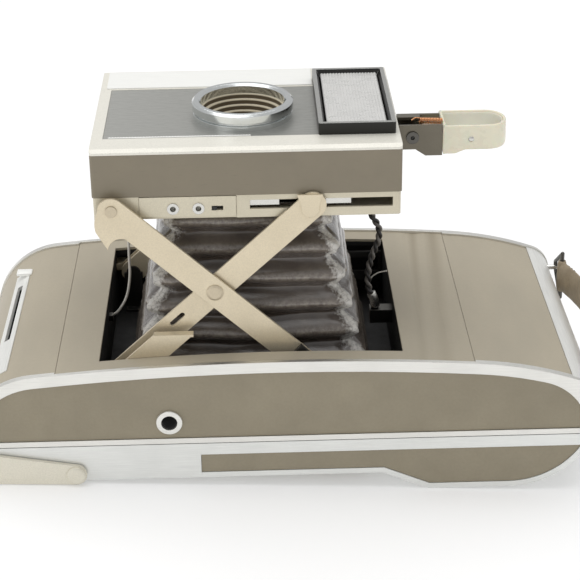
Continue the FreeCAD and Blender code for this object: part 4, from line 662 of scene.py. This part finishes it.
def strap_band():
    """Leather band bowed between the wires: an arc in plan, its section a rounded strip, ends folded over."""
    x0 = edge("strap_wires", 1, 0) - WIRE_R
    t = np.linspace(-1, 1, 150)
    bulge = STRAP_BULGE * (1 - t**2)
    y = t * (STRAP_END_Y - 0.4)
    x = x0 + bulge
    line = np.stack([x, y], 1)
    d = np.gradient(line, axis=0)
    normal = np.stack([d[:, 1], -d[:, 0]], 1) / np.linalg.norm(d, axis=1)[:, None]
    # Section: z across the strap, h the side (+1 outside, -1 inside), thinner towards both long edges.
    w = np.linspace(-1, 1, 31)
    section_z = np.concatenate([w, w[::-1]])
    side = np.concatenate([np.ones(31), -np.ones(31)])
    ends = 1 - np.abs(section_z) ** 8
    half = (0.55 + 0.55 * (1 - np.abs(section_z) ** 3)) * (0.25 + 0.75 * ends)
    thick = 1.0 + 0.75 * np.clip((np.abs(t) - 0.80) / 0.05, 0, 1)
    thick *= 1 - 0.55 * np.clip((np.abs(t) - 0.985) / 0.015, 0, 1)
    puff = 1 + 0.06 * waves(31, t[:, None] * 50, section_z[None] * 7, 9)
    h = side[None] * half[None] * thick[:, None] * puff
    pinch = 1 - 0.05 * np.abs(t[:, None]) ** 6 + 0.012 * waves(32, t[:, None] * 60, 0 * section_z[None], 12)
    points = np.stack([
        line[:, 0, None] + normal[:, 0, None] * h,
        line[:, 1, None] + normal[:, 1, None] * h,
        LUG_Z + section_z[None] * STRAP_W / 2 * pinch,
    ], 2)
    cap = [np.broadcast_to(points[k].mean(0), points[0].shape)[None] for k in (0, -1)]
    points = np.concatenate([cap[0], points, cap[1]])
    piece = grid_object("hand_strap_leather", points, M["strap"], "strap", wrap_cols=True)
    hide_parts("hand_strap")
    for k, sign in enumerate((-1, 1)):
        hem_loop(f"hand_strap_fold_{k + 1}", x0, sign)
    stitches(line, normal, t)
    return piece


def hem_loop(name, x0, sign):
    """Leather turned round the wire: a short sleeve, its section a rounded ring."""
    z = np.linspace(-1, 1, 25)
    r = 2.05 * (1 - 0.25 * np.abs(z) ** 10) + 0.05 * waves(41, z * 20, z * 0, 7)
    t = np.linspace(0, 2 * math.pi, 30, endpoint=False)
    rings = np.stack([
        x0 + r[:, None] * np.cos(t),
        sign * STRAP_END_Y + r[:, None] * np.sin(t),
        np.repeat((LUG_Z + z * STRAP_W / 2 * 0.985)[:, None], 30, 1),
    ], 2)
    bore = rings.copy()
    bore[:, :, 0] = x0 + 1.05 * np.cos(t)
    bore[:, :, 1] = sign * STRAP_END_Y + 1.05 * np.sin(t)
    points = np.concatenate([rings, bore[::-1]])
    piece = grid_object(name, points, M["strap"], "strap", wrap_rows=True, wrap_cols=True)


def stitches(line, normal, t):
    """Two rows of thread along the band, one joined mesh of small arched stitches."""
    s = np.concatenate([[0], np.cumsum(np.linalg.norm(np.diff(line, axis=0), axis=1))])
    verts, faces = [], []
    base = np.linspace(3.0, s[-1] - 3.0, 34)
    u = np.linspace(-1, 1, 7)
    ring = np.linspace(0, 2 * math.pi, 6, endpoint=False)
    for z in (-STRAP_W / 2 + 1.9, STRAP_W / 2 - 1.9):
        for p in base:
            q = p + u * 0.85
            c = np.stack([np.interp(q, s, line[:, k]) for k in (0, 1)], 1)
            n = np.stack([np.interp(q, s, normal[:, k]) for k in (0, 1)], 1)
            near_end = np.abs(np.interp(p, s, t)) > 0.80
            lift = (1.05 if not near_end else 1.75) + 0.16 * (1 - u**4)
            c = c + n * lift[:, None]
            r = 0.24 * np.sqrt(np.clip(1 - u**6, 0.02, 1))
            block = np.stack([
                c[:, 0, None] + n[:, 0, None] * r[:, None] * np.cos(ring),
                c[:, 1, None] + n[:, 1, None] * r[:, None] * np.cos(ring),
                LUG_Z + z + r[:, None] * np.sin(ring),
            ], 2)
            faces.append(grid_faces(7, 6, wrap_cols=True) + 42 * len(verts))
            verts.append(block.reshape(-1, 3))
    mesh_object("hand_strap_stitches", np.vstack(verts), np.vstack(faces), M["thread"], "strap")


# ---- release lever ----
LEVER_Y = -22.0
LEVER_DEPTH = 13.6
LEVER_END = 77.2
LOOP_END = 103.3
LOOP_WIDER = 3.8
LEVER_TOP = 140.6
LEVER_BOTTOM = 127.9
LEVER_PIVOT = (65.4, 135.6)


def loop_ribbon(name, inset, thick, z0, z1, material, shoulder):
    """Band bent into a long loop: the plan line carried round, its section a rounded strip."""
    y0, y1 = LEVER_Y - 0.5 + inset, LEVER_Y + LEVER_DEPTH + 0.5 + LOOP_WIDER - inset
    r = (y1 - y0) / 2
    x0, x1 = LEVER_END + 0.1, LOOP_END - inset - r
    t = np.linspace(-math.pi / 2, math.pi / 2, 50)
    tip = np.stack([x1 + r * np.cos(t) ** 0.8, (y0 + y1) / 2 + r * np.sin(t)], 1)
    straight = np.linspace(x0, x1, 30)[:-1]
    line = np.vstack([
        np.stack([straight, np.full(29, y0)], 1), tip, np.stack([straight[::-1], np.full(29, y1)], 1)])
    corner = np.stack([np.full(11, x0), np.linspace(y1, y0, 13)[1:-1]], 1)
    line = np.vstack([line, corner])
    d = np.roll(line, -1, 0) - np.roll(line, 1, 0)
    normal = np.stack([d[:, 1], -d[:, 0]], 1) / np.linalg.norm(d, axis=1)[:, None]
    a = np.linspace(0, 2 * math.pi, 28, endpoint=False)
    across = np.sign(np.cos(a)) * np.abs(np.cos(a)) ** 0.55 * thick / 2
    up = np.sign(np.sin(a)) * np.abs(np.sin(a)) ** 0.28
    step = shoulder * np.clip((line[:, 0] - x0 - 5) / 4, 0, 1)
    low = z0 + step[:, None] * 1.6
    points = np.stack([
        line[:, 0, None] + normal[:, 0, None] * (across - thick / 2),
        line[:, 1, None] + normal[:, 1, None] * (across - thick / 2),
        (low + z1) / 2 + up * (z1 - low) / 2,
    ], 2)
    piece = grid_object(name, points, material, "release_lever", wrap_rows=True, wrap_cols=True)
    return piece


def finger_loop():
    """Ivory loop with a paler lining, its tang, and a small rivet."""
    z0, z1 = LEVER_BOTTOM + 0.6, LEVER_TOP - 0.4
    piece = loop_ribbon("finger_loop_moulding", 0.0, 1.5, z0, z1, M["loop"], 1)
    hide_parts("finger_loop")
    loop_ribbon("finger_loop_lining", 1.45, 0.5, z0 + 2.2, z1 - 0.6, M["lining"], 0)
    tang = rounded_box("finger_loop_tang", (LEVER_END - 7, LEVER_Y + 1.4, LEVER_BOTTOM + 1.2),
                       (LEVER_END + 1.6, LEVER_Y + LEVER_DEPTH - 1.4, z1 - 1.5), 0.8,
                       M["loop"], "release_lever")
    side_button("finger_loop_rivet", (88.5, LEVER_Y - 0.5, 134.6), 1.15, 0.5, M["steel"], "release_lever")


def side_button(name, centre, radius, proud, material, body, dish=0.0, sides=40):
    """Domed disc on a near face: rings about the Y axis, standing out towards -Y."""
    u = np.linspace(0, 1, 9)
    r = np.concatenate([radius * np.sin(u * math.pi / 2), [radius]])
    out = np.concatenate([proud * (np.cos(u * math.pi / 2) - dish * (1 - u**2)), [-0.3]])
    t = np.linspace(0, 2 * math.pi, sides, endpoint=False)
    points = np.stack([
        centre[0] + r[:, None] * np.cos(t),
        np.repeat((centre[1] - out)[:, None], sides, 1),
        centre[2] + r[:, None] * np.sin(t),
    ], 2)
    return grid_object(name, points, material, body, wrap_cols=True)


def coil(name, a, b, radius, wire, turns, material, body):
    """Coil spring: a wire carried along a helix between two points, its ends closed up."""
    a, b = np.asarray(a, float), np.asarray(b, float)
    d = (b - a) / np.linalg.norm(b - a)
    side = np.cross(d, [0, 0, 1] if abs(d[2]) < 0.9 else [1, 0, 0])
    side /= np.linalg.norm(side)
    other = np.cross(d, side)
    t = np.linspace(0, 2 * math.pi * turns, int(turns * 22))
    u = (t / t[-1])[:, None]
    line = a + (b - a) * u + radius * (np.cos(t)[:, None] * side + np.sin(t)[:, None] * other)
    return tube(name, line, wire, material, body, 8)


def lever_details():
    """Return spring over the channel, its hook, and the dark pivot washer."""
    y = LEVER_Y + 5.2
    coil("lever_return_spring", (68.4, y, LEVER_TOP + 0.1), (77.4, y, LEVER_TOP - 0.3), 1.05, 0.28, 15,
         M["copper"], "release_lever")
    hook = [(68.6, y, LEVER_TOP + 1.1), (66.8, y, LEVER_TOP + 1.2), (65.2, y - 0.6, LEVER_TOP + 0.4)]
    hook = smooth_path(hook, 30)
    tube("lever_spring_hook", hook, 0.28, M["copper"], "release_lever", 8)
    px, pz = LEVER_PIVOT
    washer = [
        (0.01, 0.4), (0.85, 0.38), (1.0, 0.2), (1.05, 0.15), (1.1, 0.5), (1.8, 0.5), (2.0, 0.3), (2.0, -0.2),
    ]
    turned_side("lever_pivot_washer", washer, (px, LEVER_Y, pz), M["black"], "release_lever")


def turned_side(name, profile, centre, material, body, sides=48):
    """Surface of revolution about the Y axis; profile is (radius, distance out towards -Y) pairs."""
    profile = np.asarray(profile, float)
    t = np.linspace(0, 2 * math.pi, sides, endpoint=False)
    points = np.stack([
        centre[0] + profile[:, :1] * np.cos(t),
        centre[1] - np.repeat(profile[:, 1:], sides, 1),
        centre[2] + profile[:, :1] * np.sin(t),
    ], 2)
    return grid_object(name, points, material, body, wrap_cols=True)


# ---- lens ----
LENS = (-1.0, -8.7)
RING_HOLE_R = 16.6
HOOD_TOP = 144.9
HOOD_DEPTH = 14.0
HOOD_STEPS = 7
HOOD_END_R = 8.0


def lens_hood():
    """Stepped funnel: each step a rounded ivory tread with a riser under it, each riser darkened by a band of
    painted shadow.
    """
    rise = HOOD_DEPTH / HOOD_STEPS
    run = (RING_HOLE_R - 0.6 - HOOD_END_R) / HOOD_STEPS
    a = np.linspace(0, math.pi / 2, 6)
    treads, risers = [], []
    r, z = RING_HOLE_R - 0.6, 0.0
    treads.append((RING_HOLE_R + 0.6, z))
    for k in range(HOOD_STEPS):
        lip = 0.36
        rounded = [(r + lip * (1 - math.sin(t)), z - lip * (1 - math.cos(t))) for t in a]
        treads += rounded
        wall = [(r, z - lip), (r + 0.12, z - lip - 0.15), (r + 0.12, z - rise + 0.05)]
        risers.append(wall)
        treads += [wall[1], wall[2]]
        r -= run
        z -= rise
        treads.append((r + 0.42, z + 0.02))
    treads.append((HOOD_END_R, z - 1.0))
    shell = [(HOOD_END_R + 2.4, z - 1.0), (RING_HOLE_R + 0.6, -3.0), (RING_HOLE_R + 0.6, 0.0)]
    piece = turned("lens_hood_steps", treads + shell, (*LENS, HOOD_TOP), M["hood"], "lens_board", 128)
    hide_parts("lens_hood")
    # Painted shadow: a thin dark band just inside each riser, under its tread.
    bands = [[(r0 - 0.02, z0 - 0.16), (r0 - 0.02, z1)] for (_, z0), (r0, _), (_, z1) in risers]
    verts, faces = [], []
    t = np.linspace(0, 2 * math.pi, 96, endpoint=False)
    for band in bands:
        b = np.array(band)
        ring = np.stack([
            LENS[0] + b[:, :1] * np.cos(t), LENS[1] + b[:, :1] * np.sin(t),
            np.repeat(b[:, 1:] + HOOD_TOP, 96, 1)], 2)
        faces.append(grid_faces(2, 96, wrap_cols=True) + 192 * len(verts))
        verts.append(ring.reshape(-1, 3))
    mesh_object("lens_hood_shadow_bands", np.vstack(verts), np.vstack(faces), M["groove"], "lens_board")


def photocell_pane():
    """Frosted pane with ribs that run across the lens board: a ribbed top over a plain closed underside."""
    low, high = (np.array(p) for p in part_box("cell_window"))
    (x0, y0, z0), (x1, y1, z1) = (low - ZERO) / MM, (high - ZERO) / MM
    ribs = round((x1 - x0) / 1.25)
    x = np.linspace(x0, x1, ribs * 12 + 1)
    y = np.linspace(y0, y1, 9)
    rib = 0.5 - 0.5 * np.cos(2 * math.pi * (x - x0) / (x1 - x0) * ribs)
    top = np.stack([*np.meshgrid(x, y), np.repeat((z1 - 0.34 + 0.34 * rib**0.7)[None], 9, 0)], 2)
    rim = [top[0], top[:, -1][1:], top[-1][::-1][1:], top[:, 0][::-1][1:-1]]
    rim = np.vstack(rim)
    floor = rim.copy()
    floor[:, 2] = z0
    n = len(rim)
    verts = np.vstack([top.reshape(-1, 3), rim, floor, [[(x0 + x1) / 2, (y0 + y1) / 2, z0]]])
    base = top.shape[0] * top.shape[1]
    i = np.arange(n)
    j = (i + 1) % n
    wall = np.stack([base + i, base + n + i, base + n + j, base + j], 1)
    fan = [[base + n + int(b), base + n + int(a), base + 2 * n] for a, b in zip(i, j)]
    faces = grid_faces(9, len(x)).tolist() + wall.tolist() + fan
    piece = mesh_object("cell_window_pane", verts, faces, M["pane"], "lens_board")
    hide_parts("cell_window")


def plate_ticks():
    """Bright bead along the name plate's near edge and a row of short fine teeth behind it, in one mesh."""
    low, high = (np.array(p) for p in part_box("name_plate"))
    y0, z = (low - ZERO)[1] / MM, (high - ZERO)[2] / MM
    rounded_box("name_plate_bead", (-53.0, y0 + 0.15, z - 0.1), (2.0, y0 + 0.85, z + 0.4), 0.24, M["strip"],
                "lens_board")
    verts, faces = [], []
    cube = [[0, 1, 2, 3], [7, 6, 5, 4], [0, 4, 5, 1], [1, 5, 6, 2], [2, 6, 7, 3], [3, 7, 4, 0]]
    for k, c in enumerate(np.arange(-52.4, 1.6, 1.1)):
        w, near, far = 0.17, y0 + 0.8, y0 + 1.7
        for h in (z + 0.12, z - 0.1):
            verts += [(c - w, near, h), (c + w, near, h), (c + w, far, h), (c - w, far, h)]
        faces += [[8 * k + i for i in face] for face in cube]
    mesh_object("name_plate_teeth", verts, faces, M["strip"], "lens_board", smooth=False)


SOCKET = (-33.0, 33.7)       # tripod socket, x and z
BAIL = (-71.0, 11.6)         # latch bail's pivot, x and z


def body_details():
    """Tab on the exit strip, the dark inside of the tripod socket, and caps over the latch screws."""
    rounded_box("exit_strip_tab", (-103.2, 37.5, edge("tab_strip", 1, 2) - 0.6),
                (-96.4, 42.5, edge("tab_strip", 1, 2) + 0.9), 0.5, M["strip"], "camera_body")
    mouth = edge("tripod_socket", 0, 1)
    bore = [
        (3.17, -1.2), (3.17, -10.6), (0.01, -10.6), (0.01, -10.9), (3.19, -10.9), (3.19, -1.2), (3.17, -1.2),
    ]
    turned_side("tripod_socket_shade", bore, (SOCKET[0], mouth, SOCKET[1]), M["black"], "camera_body")
    dome = [(0.01, 1.25), (2.2, 1.2), (3.2, 1.0), (3.7, 0.7), (3.9, 0.35), (3.9, -0.2)]
    place = (BAIL[0], edge("latch_bail", 0, 1), BAIL[1])
    for k in range(2):
        cap = turned_side(f"latch_screw_cap_{k + 1}", dome, place, M["bail"], "camera_body")
        if k == 1:
            flip_y(cap)


def flip_y(piece):
    """Mirrors a near-side piece to the far side, with its faces turned back outwards."""
    co = np.empty(len(piece.data.vertices) * 3)
    piece.data.vertices.foreach_get("co", co)
    co = co.reshape(-1, 3)
    co[:, 1] = 2 * ZERO[1] - co[:, 1]
    piece.data.vertices.foreach_set("co", co.ravel())
    piece.data.flip_normals()
    piece.data.update()


# ---- surroundings ----
REST_RIGHT = (70.5, 0, -0.02)    # the two places that the back stands on
REST_LEFT = (-99.2, 0, 7.98)
FLOOR_HALF = 6.0                 # metres


def floor():
    """Pale flat floor through the two places that the back stands on: z rises with x along their slope."""
    a, b = at(REST_RIGHT), at(REST_LEFT)
    slope = (b[2] - a[2]) / (b[0] - a[0])
    x, y = np.meshgrid([-FLOOR_HALF, FLOOR_HALF], [-FLOOR_HALF, FLOOR_HALF])
    z = a[2] + slope * (x - a[0])
    mesh = bpy.data.meshes.new("floor")
    mesh.from_pydata(np.stack([x, y, z], 2).reshape(-1, 3).tolist(), [], [[0, 1, 3, 2]])
    mesh.update()
    obj = bpy.data.objects.new("floor", mesh)
    bpy.context.scene.collection.objects.link(obj)
    s = Shader("floor")
    paint = s.finish(color=(0.8, 0.8, 0.8, 1), rough=0.9, spec=0.1, glow=(1, 1, 1, 1), glow_power=0.24)
    obj.data.materials.append(paint)


def lights():
    """Broad soft overhead light, a weak fill from the left, and an even pale surround."""
    sun = bpy.data.lights.new("overhead", "SUN")
    sun.energy = 1.55
    sun.angle = math.radians(70)
    obj = bpy.data.objects.new("overhead", sun)
    bpy.context.scene.collection.objects.link(obj)
    obj.rotation_euler = Vector((0.12, -0.22, -1)).to_track_quat("-Z", "Y").to_euler()
    fill = bpy.data.lights.new("left fill", "AREA")
    fill.shape = "RECTANGLE"
    fill.size, fill.size_y = 0.9, 0.7
    fill.energy = 1.6
    obj = bpy.data.objects.new("left fill", fill)
    bpy.context.scene.collection.objects.link(obj)
    obj.location = (-0.9, -1.0, 0.6)
    obj.rotation_euler = (Vector((0.03, -0.06, 0.03)) - obj.location).to_track_quat("-Z", "Y").to_euler()
    world = bpy.data.worlds.new("studio")
    world.use_nodes = True
    back = world.node_tree.nodes["Background"]
    back.inputs[0].default_value = (1, 1, 1, 1)
    back.inputs[1].default_value = 0.55
    bpy.context.scene.world = world


def camera():
    """The one viewpoint, above the base side."""
    data = bpy.data.cameras.new("camera")
    data.sensor_width = 36.0
    data.lens = 107.23
    data.clip_start, data.clip_end = 0.01, 50
    obj = bpy.data.objects.new("camera", data)
    bpy.context.scene.collection.objects.link(obj)
    right = (0.999489, -0.029393, -0.012540)
    up = (0.024183, 0.439186, 0.898070)
    back = (-0.020889, -0.897915, 0.439673)
    turn = Matrix((right, up, back)).transposed().to_4x4()
    obj.matrix_world = Matrix.Translation((0.034706, -0.591245, 0.346901)) @ turn
    bpy.context.scene.camera = obj


dress_nodes()
bellows()
twisted_lead()
flash_wire()
strap_band()
finger_loop()
lever_details()
lens_hood()
photocell_pane()
plate_ticks()
body_details()
floor()
lights()
camera()
bpy.context.scene.view_settings.view_transform = "Standard"
